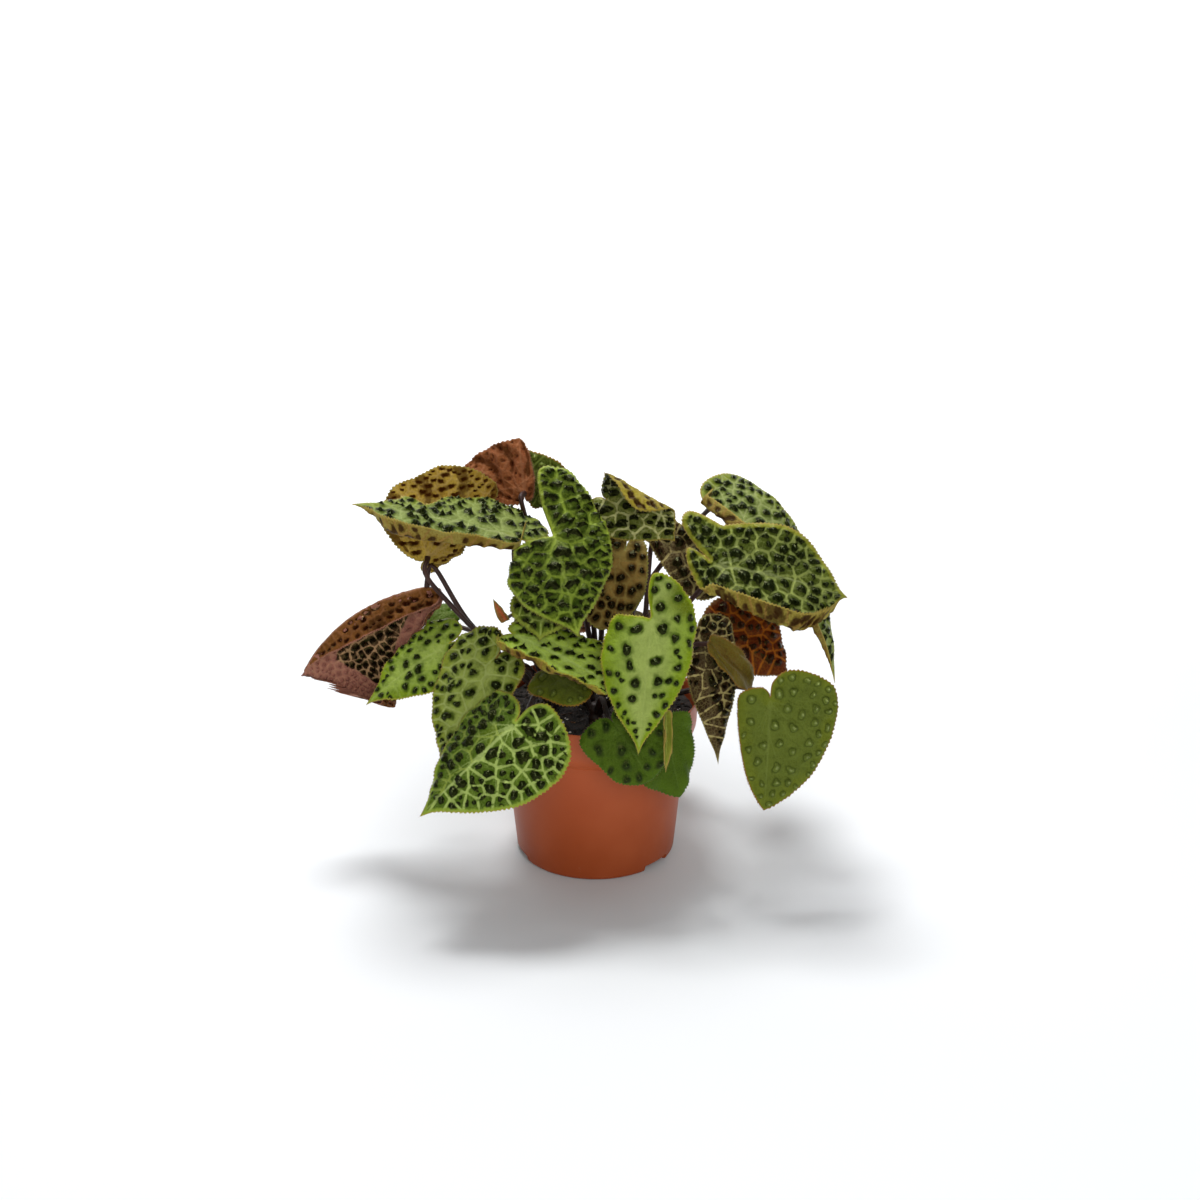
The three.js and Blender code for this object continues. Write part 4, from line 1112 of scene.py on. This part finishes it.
# %% Looks of the leaves
USUAL_LOOK = dict(
    pitch=7.4, foot=0.7, tall=3.0, pairs=0.2, fill=0.0, net=0.4, vein=0.5, zone=0.0, other=0.0, lobes=0.0,
    clouds=0.35, halo=1.8, puff=0.5, rough=0.44, teeth=1.2, grain=0.8, frill=0.5, hollow=0.6, point=0.6,
    ragged=0.7, squiggle=1.0, pits=1.0, pleat=0.0, stretch=0.0, border=0.0, top=0.26, low_rim=8.0,
    line=0.8,
)
NETTED = dict(fill=1.0, net=0.95, vein=0.45, puff=0.8, ragged=1.0, point=0.3, top=0.2)
LOOKS = dict(
    front_left=dict(NETTED, pitch=6.6, foot=0.94, pairs=0.4, tall=2.4, other=0.85, vein=0.7, line=1.0,
                    border=1.8, squiggle=1.4),
    left_low=dict(pitch=8.2, foot=0.68, pairs=0.5, net=0.8, ragged=1.0, clouds=0.5, frill=0.9),
    left_bright=dict(pitch=6.6, foot=0.6, pairs=0.15, zone=0.3, clouds=0.5, frill=0.8),
    left_plain=dict(puff=0.2),
    left_long=dict(pitch=6.8, foot=0.86, tall=3.4, fill=0.2, net=0.5, ragged=1.2, low_rim=16, frill=0.6),
    left_upright=dict(pitch=6.0, foot=0.7, tall=2.6, hollow=0.9, stretch=0.42, pleat=0.6, frill=0.8),
    top_pink=dict(pitch=6.0, foot=0.5, tall=2.6, hollow=0.9, pleat=1.5, pits=0.4, frill=0.9),
    top_small=dict(NETTED, pitch=5.4, foot=0.8, tall=2.6),
    centre_large=dict(NETTED, pitch=6.8, foot=1.0, tall=3.8, pairs=0.6, puff=2.0, line=1.3, ragged=2.2,
                      stretch=0.5, border=1.6, squiggle=2.6, fill=0.6, net=0.6, clouds=0.6, frill=0.9,
                      pleat=0.7),
    centre_under=dict(NETTED, pitch=6.4, foot=0.74, tall=3.0, puff=1.4, ragged=1.5, fill=0.5, border=1.6,
                      frill=0.9, pleat=0.5),
    centre_brown=dict(pitch=5.4, foot=0.8, tall=1.9, pairs=0.05, net=0.4, vein=0.15, halo=2.1),
    front_cupped=dict(pitch=6.0, foot=0.62, tall=3.2, net=0.2, zone=0.3, clouds=0.2, stretch=0.3,
                      border=1.6, frill=0.9, pleat=0.4),
    front_right=dict(pitch=8.6, foot=0.54, tall=2.8, pairs=0.3, net=0.0, zone=0.8, point=0.3, lobes=0.85,
                     clouds=0.25, border=1.4, frill=0.7),
    rim_round=dict(pitch=9.0, foot=0.5, tall=1.2, pairs=0.1, net=0.0, vein=0.3, frill=0.3),
    right_narrow=dict(NETTED, pitch=4.8, foot=1.05, tall=2.6, pairs=0.4, squiggle=2.0, line=0.7,
                      vein=0.2),
    right_rust=dict(NETTED, pitch=6.4, foot=1.0, line=1.0, net=0.8, squiggle=1.6, tall=2.4, pairs=0.4),
    right_round=dict(pitch=8.2, foot=0.46, tall=3.2, pairs=0.0, net=0.0, halo=1.7, point=0.9, vein=0.3,
                     top=0.6, border=1.2, frill=0.25),
    right_cupped=dict(NETTED, pitch=6.4, foot=1.0, line=1.0, tall=2.8, pairs=0.4, puff=1.2, border=2.2,
                      clouds=0.6, lobes=0.5, net=0.55, squiggle=2.2, frill=0.3, pleat=0.3),
    top_yellow=dict(NETTED, pitch=5.8, foot=1.0, tall=3.6, stretch=0.3, net=0.6, squiggle=2.4),
    right_drip=dict(pitch=6.4, foot=0.8, tall=2.6, fill=0.25, net=0.8, frill=0.3),
    right_maroon=dict(NETTED, pitch=5.6, foot=1.0, tall=2.4, net=0.7, squiggle=2.0),
    front_olive=dict(pitch=8.0, foot=0.45, tall=1.0, net=0.0, vein=0.3),
    left_hanging=dict(NETTED, pitch=5.2, foot=0.8, tall=3.2, hollow=0.9, stretch=0.35, border=17.0,
                      net=0.7, squiggle=2.0, pleat=0.5, frill=1.1),
    young_rolled=dict(puff=0.1, teeth=0.3, grain=0.9),
    young_red=dict(puff=0.0, teeth=0.0, grain=0.7),
    rim_wavy=dict(net=0.1, teeth=1.4, vein=0.3),
    right_plain=dict(net=0.1, vein=0.4, pleat=0.8),
    back_centre=dict(NETTED),
    back_low_right=dict(pitch=8.0, foot=0.5, tall=1.4, net=0.1),
)
OWN_TONES = dict(
    front_left=dict(net="AABE68", vein="B4C676", halo="465E16", border="8EA43A", other="78841C"),
    centre_large=dict(field="5A6C1C", net="9CB244", halo="2C3E0C", border="9CAE40"),
    left_long=dict(field="86944C", net="94A460"),
    left_hanging=dict(under="7E4C26", mottle="6C401C", rim="A06A58", border="A87060", edge="A87060"),
    front_cupped=dict(field="B0CC40", net="B8D078", vein="B4CA74", halo="546C14", border="98A836"),
    centre_under=dict(field="84983A", halo="44541A", net="A2B45A", border="9AA640"),
    left_low=dict(field="98A84E", net="AAB868", vein="AAB868"),
    right_cupped=dict(under="A09444", mottle="7E6C2A", border="8C8E2C", net="A4B064", field="848E3A",
                      halo="38440E"),
    top_yellow=dict(under="A89A34", mottle="8E7E26", field="9C9E50", halo="525A20", net="D2D094"),
    left_upright=dict(under="C4A446", mottle="AA8632", hollow="481F02", rib="C0A060"),
    top_pink=dict(under="A05C3A", mottle="864A2A", hollow="481804", rib="A86C4C"),
    right_plain=dict(field="5E4612", edge="68561E", halo="36240A", vein="74602C", rim="7A5A24",
                     under="70561C", mottle="5E4416"),
    young_red=dict(under="C0442C", mottle="C05430", field="C0442C", edge="9A5E34", vein="C0442C",
                   rim="806E30", rib="C0442C"),
)


def look_of(leaf):
    return {**USUAL_LOOK, **LOOKS.get(leaf["short"], {})}


# %% Make the blades
triangles, all_cones = 0, 0
for index, leaf in enumerate(LEAVES):
    look = look_of(leaf)
    tones = {**TONES[leaf["colour"]], **OWN_TONES.get(leaf["short"], {})}
    mesh, cones = leaf_mesh(leaf, look, index)
    piece = add_object("blade_" + leaf["short"], mesh)
    only(piece)
    bpy.ops.object.shade_smooth()
    mesh.materials.append(leaf_finish(leaf["name"] + "_finish", tones, look))
    belongs(piece, "leaf_" + leaf["colour"], leaf["name"])
    triangles += sum(len(face.vertices) - 2 for face in mesh.polygons)
    all_cones += cones
print("triangles in the leaves:", triangles, "and cones:", all_cones)


# %% [markdown]
# Fine hairs fringe every blade but the red bud's. Strands of the hair system would do it by
# hand, but they are lost when the model is saved for other programs. So each hair is a thin
# three-sided spike.

# %% Hairs along the margins
HAIR_GAP = 1.15
HAIR_LENGTH = (0.7, 1.7)
HAIR_RADIUS = 0.075
HAIR_SUNK, HAIR_OUT = 0.15, 0.35
SPIKE_TURNS = (0, 2.09, 4.19)


def spikes(name, feet, ways, lengths):
    """One mesh of thin spikes, from their feet along their ways."""
    sides = np.cross(ways, (0.31, 0.52, 0.79))
    sides /= np.linalg.norm(sides, axis=1)[:, None]
    others = np.cross(ways, sides)
    rows = [feet + HAIR_RADIUS * (sides * math.cos(a) + others * math.sin(a)) for a in SPIKE_TURNS]
    rows.append(feet + ways * lengths[:, None])
    corners = np.stack(rows, axis=1).reshape(-1, 3) * MM
    firsts = range(0, len(corners), 4)
    turns = ((0, 1, 3), (1, 2, 3), (2, 0, 3), (2, 1, 0))
    faces = [tuple(first + corner for corner in turn) for first in firsts for turn in turns]
    mesh = bpy.data.meshes.new(name)
    mesh.from_pydata(corners.tolist(), [], faces)
    mesh.update()
    return mesh


def fringe(leaf, dice):
    """Feet, ways and lengths of the hairs round one blade."""
    place = leaf_frame(leaf)
    edge, out = edge_and_outward(leaf, place, 2 * HAIR_GAP)
    feet = bent(leaf, place, edge - HAIR_SUNK * out)
    ways = bent(leaf, place, edge + HAIR_OUT * out) - feet
    ways += 0.35 * (dice.random_sample(ways.shape) - 0.5)
    ways /= np.linalg.norm(ways, axis=1)[:, None]
    share, spoke = around(leaf, place, edge)
    ripple = leaf["wave"] * np.sin(WAVE_TURN * spoke) * off_midrib(edge)
    ripple += frilled(look_of(leaf)["frill"], edge, share, spoke)
    feet = feet + upward(leaf, place, edge - HAIR_SUNK * out) * ripple[:, None]
    low, high = HAIR_LENGTH
    return feet, ways, low + (high - low) * dice.random_sample(len(feet))


# %% Grow the hairs
HAIR_SEED = 90

hairy = {}
dice = np.random.RandomState(HAIR_SEED)
for leaf in LEAVES:
    if leaf["short"] != "young_red":
        hairy.setdefault(leaf["colour"], []).append(fringe(leaf, dice))
board = Board("hair_finish")
tint = board.mix(board.noise(300, 2), "8A6440", "B89A6C")
board.surface(Base_Color=tint, Roughness=board.noise(500, 2) * 0.2 + 0.5)
for colour, rows in hairy.items():
    feet, ways, lengths = (np.concatenate(column) for column in zip(*rows))
    piece = add_object("hairs_" + colour, spikes("hairs_" + colour, feet, ways, lengths))
    piece.data.materials.append(board.material)
    belongs(piece, "leaf_" + colour)


# %% [markdown]
# ## The pot
# A thin plastic nursery pot with a tall band under its rim. It could be a spun outline. Here it is
# raised like a thrown pot instead: the foot is a flat disc, which is pulled up and widened again
# and again to the rim, then led inwards and down to the floor, so it stays one closed skin.

# %% Raise a wall ring by ring
def raise_rings(name, sides, steps, centre=(0, 0)):
    """A closed, round piece pulled up from a disc. steps are (radius, height) pairs."""
    nothing_selected()
    radius, height = steps[0]
    at = (centre[0] * MM, centre[1] * MM, height * MM)
    bpy.ops.mesh.primitive_circle_add(
        vertices=sides, radius=radius * MM, fill_type="NGON", location=at,
    )
    piece = settle(bpy.context.object)
    piece.name = name
    edit(piece)
    bpy.ops.mesh.select_all(action="SELECT")
    for wider, higher in steps[1:]:
        lift = {"value": (0, 0, (higher - height) * MM)}
        bpy.ops.mesh.extrude_region_move(TRANSFORM_OT_translate=lift)
        scale = wider / radius
        middle = (centre[0] * MM, centre[1] * MM, higher * MM)
        bpy.ops.transform.resize(value=(scale, scale, 1), center_override=middle)
        radius, height = wider, higher
    bpy.ops.mesh.select_all(action="SELECT")
    bpy.ops.mesh.normals_make_consistent(inside=False)
    done()
    return piece


# %% The pot and its drain notches
POT_OUTSIDE = (
    (44.6, 0.0), (45.6, 0.15), (46.4, 0.6), (46.9, 1.4), (47.2, 2.6), (48.9, 20.0), (50.7, 40.0),
    (52.6, 60.0), (53.75, 72.8), (53.95, 73.6), (54.3, 74.2), (55.2, 74.9), (56.5, 75.9),
    (57.7, 77.4), (58.6, 79.2), (59.2, 81.0), (59.5, 83.0), (59.75, 89.0), (59.95, 95.6),
    (59.98, 96.4), (59.8, 96.85), (59.4, 97.0), (59.0, 96.85), (58.75, 96.4),
)
POT_INSIDE = ((58.6, 88.0), (58.2, 82.0), (57.0, 79.0), (52.4, 73.0), (46.0, 5.6))
NOTCHES = (-40, 80, 200)
NOTCH = (30.0, 20.0, 8.0)
NOTCH_MIDDLE = 51.5
NOTCH_ROUND = 0.8

pot = raise_rings("nursery_pot", 160, POT_OUTSIDE + POT_INSIDE)
for angle in NOTCHES:
    turn = math.radians(angle)
    at = (NOTCH_MIDDLE * MM * math.cos(turn), NOTCH_MIDDLE * MM * math.sin(turn), 0)
    bpy.ops.mesh.primitive_cube_add(size=1, location=at, rotation=(0, 0, turn),
                                    scale=[length * MM for length in NOTCH])
    block = settle(bpy.context.object)
    block.modifiers.new("round", "BEVEL").width = NOTCH_ROUND * MM
    block.modifiers["round"].segments = 3
    apply_all(block)
    cut = pot.modifiers.new("notch", "BOOLEAN")
    cut.operation, cut.object, cut.solver = "DIFFERENCE", block, "EXACT"
    apply_all(pot)
    bpy.data.objects.remove(block)
only(pot)
bpy.ops.object.shade_smooth_by_angle(angle=math.radians(35))
print("drain notches:", len(NOTCHES))


# %% [markdown]
# The plastic is clouded, a little scuffed, and dusty just under the rim. It is painted darker
# towards the foot as shade.

# %% Finish of the pot
board = Board("terracotta_plastic", Specular_IOR_Level=0.3)
height = board.height()
cloud = board.noise(22, 3)
# Darker towards the foot: painted shade.
body = board.mix(board.step(height + (cloud - 0.5) * 0.02, 0.0, 0.085), "9E4415", "B25228")
body = board.mix(board.step(cloud, 0.4, 0.75) * 0.35, body, "BC6036")
scuffs = board.step(board.noise(180, 5, 0.7), 0.66, 0.78)
body = board.mix(scuffs * 0.22, body, "BC8468")
dust = board.step(height, 0.0935, 0.0975) * board.step(board.noise(140, 4), 0.4, 0.7)
body = board.mix(dust * 0.5, body, "8A6A54")
board.surface(Base_Color=body, Roughness=cloud * 0.14 + scuffs * 0.12 + 0.36,
              Normal=board.bump(board.noise(2400, 2), 0.12, 0.0003))
pot.data.materials.append(board.material)
belongs(pot, "pot_plastic", "pot")


# %% [markdown]
# ## The soil
# Dark potting mix, a little domed, with crumbs, white specks of perlite and bits of bark. The top
# is a disc raised in rings and then roughened point by point. A few crumbs, specks and chips are
# modelled as rough lumps, and copied.

# %% Soil
SOIL_TOP = 88.0
SOIL_EDGE = 57.7
SOIL_DOME, SOIL_FALL = 1.5, 2.5
SOIL_SEED = 7
ROOTS = {"centre": (-4, 2), "left": (-26, -8), "right": (26, -6), "front": (0, -26), "back": (2, 26)}


def soil_height(radius):
    return SOIL_TOP + SOIL_DOME - SOIL_FALL * (radius / 60.0) ** 2


def wavy(x, y):
    """A slow roll of the soil's surface."""
    return 0.55 * (np.sin(x * 0.71 + 1.3 * np.cos(y * 0.53)) + np.cos(y * 0.83 + x * 0.37))


rings = [(45.6, 6.0), (52.0, 72.6), (56.4, 79.0), (57.6, 82.0), (SOIL_EDGE, 86.0)]
rings += [(r, soil_height(r)) for r in np.arange(SOIL_EDGE - 0.4, 1.0, -1.15)]
soil = raise_rings("potting_mix", 220, rings)
crumble = random.Random(SOIL_SEED)
for corner in soil.data.vertices:
    x, y, z = (length / MM for length in corner.co)
    radius = math.hypot(x, y)
    if z > SOIL_TOP - 2.5 and radius < SOIL_EDGE - 0.2:
        rough = wavy(x, y) + 0.9 * (crumble.random() - 0.5)
        corner.co.z += rough * min(1, (SOIL_EDGE - radius) / 2) * MM
        corner.co.x += 0.4 * (crumble.random() - 0.5) * MM
        corner.co.y += 0.4 * (crumble.random() - 0.5) * MM
soil.data.update()
print("points of the soil:", len(soil.data.vertices))


# %% Lumps, perlite and bark, modelled once and copied
NEAR_STEM = 4.6
NEAR_WALL = 2.5
LIFT = 0.3


def lump(name, size, flatness, seed):
    nothing_selected()
    bpy.ops.mesh.primitive_ico_sphere_add(subdivisions=2, radius=size * MM)
    piece = settle(bpy.context.object)
    piece.name = name
    dice = random.Random(seed)
    resize(piece, (1.2, 0.9, flatness))
    for corner in piece.data.vertices:
        corner.co *= 0.72 + 0.5 * dice.random()
    return piece


def strew(name, models, count, seed, sizes, sink=0.0):
    """Copies of the models over the soil, each with its own place and turn, as one piece."""
    dice = random.Random(seed)
    copies = []
    while len(copies) < count:
        radius = (SOIL_EDGE - NEAR_WALL) * math.sqrt(dice.random())
        turn = dice.random() * 2 * math.pi
        x, y = radius * math.cos(turn), radius * math.sin(turn)
        if any(math.hypot(x - a, y - b) < NEAR_STEM for a, b in ROOTS.values()):
            continue
        model = dice.choice(models)
        copy = add_object(model.name, model.data.copy())
        scale = sizes[0] + (sizes[1] - sizes[0]) * dice.random() ** 2
        z = soil_height(radius) + float(wavy(x, y)) + LIFT - sink
        turns = [dice.random() * 6.28 for _ in range(3)]
        copy.matrix_world = (Matrix.Translation((x * MM, y * MM, z * MM))
                             @ Matrix.Rotation(turns[0], 4, "Z")
                             @ Matrix.Rotation(0.5 * (turns[1] - 3.14), 4, "X")
                             @ Matrix.Scale(scale, 4))
        copies.append(copy)
    return joined(copies, name)


crumbs = [lump(f"crumb_{i}", 1.0, 0.8, 20 + i) for i in range(4)]
grit = strew("soil_crumbs", crumbs, 620, 3, (0.5, 2.0), 0.2)
whites = [lump(f"white_{i}", 0.62, 0.8, 40 + i) for i in range(3)]
perlite = strew("perlite", whites, 90, 4, (0.6, 1.7))
bits = [lump(f"chip_{i}", 1.0, 0.25, 60 + i) for i in range(2)]
for bit in bits:
    resize(bit, (3.0, 0.7, 1))
bark = strew("bark_bits", bits, 70, 5, (0.6, 1.4))
for model in crumbs + whites + bits:
    bpy.data.objects.remove(model)


# %% [markdown]
# Soil, perlite and bark are all dull and grainy. One function feeds their roughness and grain.

# %% Finishes of the soil
def grainy(board, tint, rough, dull, grain, strength, depth, *pieces):
    roughness = board.noise(rough, 2) * dull[0] + dull[1]
    normal = board.bump(board.noise(*grain), strength, depth)
    board.surface(Base_Color=tint, Roughness=roughness, Normal=normal)
    for piece in pieces:
        piece.data.materials.append(board.material)


board = Board("potting_mix_finish")
dark = board.mix(board.step(board.noise(420, 4), 0.35, 0.7), "0D0A08", "2A1F17")
dark = board.mix(board.step(board.noise(1500, 2), 0.62, 0.75) * 0.6, dark, "4A382A")
grainy(board, dark, 300, (0.3, 0.65), (1300, 3), 0.8, 0.0008, soil, grit)
board = Board("perlite_finish")
white = board.mix(board.noise(700, 3), "B8B2A6", "E8E6DF")
grainy(board, white, 500, (0.2, 0.7), (2500, 2), 0.6, 0.0004, perlite)
board = Board("bark_finish")
brown = board.mix(board.step(board.noise(900, 4), 0.3, 0.7), "2A1A10", "6A4A30")
grainy(board, brown, 500, (0.2, 0.65), (2000, 3), 0.7, 0.0005, bark)
belongs(soil, "soil", "soil")
for piece in (grit, perlite, bark):
    belongs(piece, "soil")


# %% [markdown]
# ## Stems and stalks
# Each leaf hangs on a red-brown stalk, a little thicker at its foot. Stalks grow from short,
# knotty stems. A stalk could be extruded step by step, but a curve with a round section keeps it
# smooth, so its points are laid as a curve and then made a mesh.

# %% Stalks
STALK_RADIUS = 1.35
STALK_LEAN = 0.35
STALK_END = 12
STALK_BOW = (0, 0, 12)
FIT = 0.3


def stalk_line(leaf):
    """The line of a stalk, from its stem through via to just under the join."""
    place = leaf_frame(leaf)
    rise = unit(place["normal"] + STALK_LEAN * place["ahead"])
    droop = max(0, -leaf["fold"][0], -leaf["fold"][1])
    clear = BLADE / 2 + FIT + STALK_RADIUS * (STALK_LEAN + math.sin(math.radians(droop)))
    end = place["join"] - place["normal"] * clear
    before = end - STALK_END * rise
    start = np.array([*ROOTS[leaf["root"]], SOIL_TOP + 6], float)
    middle = leaf["via"] or (start + before) / 2 + STALK_BOW
    line = smooth_line([start, middle, before, end], 24)
    reach = place["join"] - place["normal"] * 0.3
    return np.vstack([line, reach])


# %% Draw the stalks and make them a mesh
curve = bpy.data.curves.new("stalks", "CURVE")
curve.dimensions = "3D"
curve.bevel_depth = STALK_RADIUS * MM
curve.bevel_resolution = 4
curve.use_fill_caps = True
for leaf in LEAVES:
    line = even_points(stalk_line(leaf), 36)
    spline = curve.splines.new("POLY")
    spline.points.add(len(line) - 1)
    for number, (point, place) in enumerate(zip(spline.points, line)):
        share = number / (len(line) - 1)
        point.co = (*(place * MM), 1)
        point.radius = 1.32 - 0.34 * share + 0.3 * math.exp(-((share - 1) / 0.04) ** 2)
        if leaf["short"] == "young_red":
            point.radius *= 0.7
only(add_object("stalks", curve))
bpy.ops.object.convert(target="MESH")
stalks = bpy.context.object
print("stalks:", len(LEAVES))


# %% Stem stubs, and one piece of all
STUB_STEPS = (
    (4.0, 70.0), (4.1, 86.0), (4.4, 88.0), (4.5, 89.2), (4.1, 90.4), (3.8, 92.6), (4.3, 93.4),
    (4.35, 94.2), (3.8, 95.2), (3.6, 97.6), (4.0, 98.4), (4.0, 99.2), (3.5, 100.2), (3.2, 101.4),
    (2.4, 102.2), (1.2, 102.6),
)
stubs = [raise_rings("stub_" + root, 20, STUB_STEPS, at) for root, at in ROOTS.items()]
stalks = joined((stalks, *stubs), "stems_and_stalks")
bpy.ops.object.shade_smooth()


# %% Finish of the stalks
board = Board("stalk_finish")
patches = board.noise(90, 3)
specks = board.noise(1400, 3, 0.7)
skin = board.mix(board.step(board.height() + (patches - 0.5) * 0.05, 0.09, 0.17), "20130C", "36160F")
skin = board.mix(board.step(patches, 0.45, 0.75) * 0.5, skin, "4C2A1A")
skin = board.mix(board.step(specks, 0.6, 0.72) * 0.35, skin, "806048")
board.surface(Base_Color=skin, Roughness=specks * 0.2 + 0.42,
              Normal=board.bump(specks, 0.5, 0.0005))
stalks.data.materials.append(board.material)
belongs(stalks, "stalk", "stems")
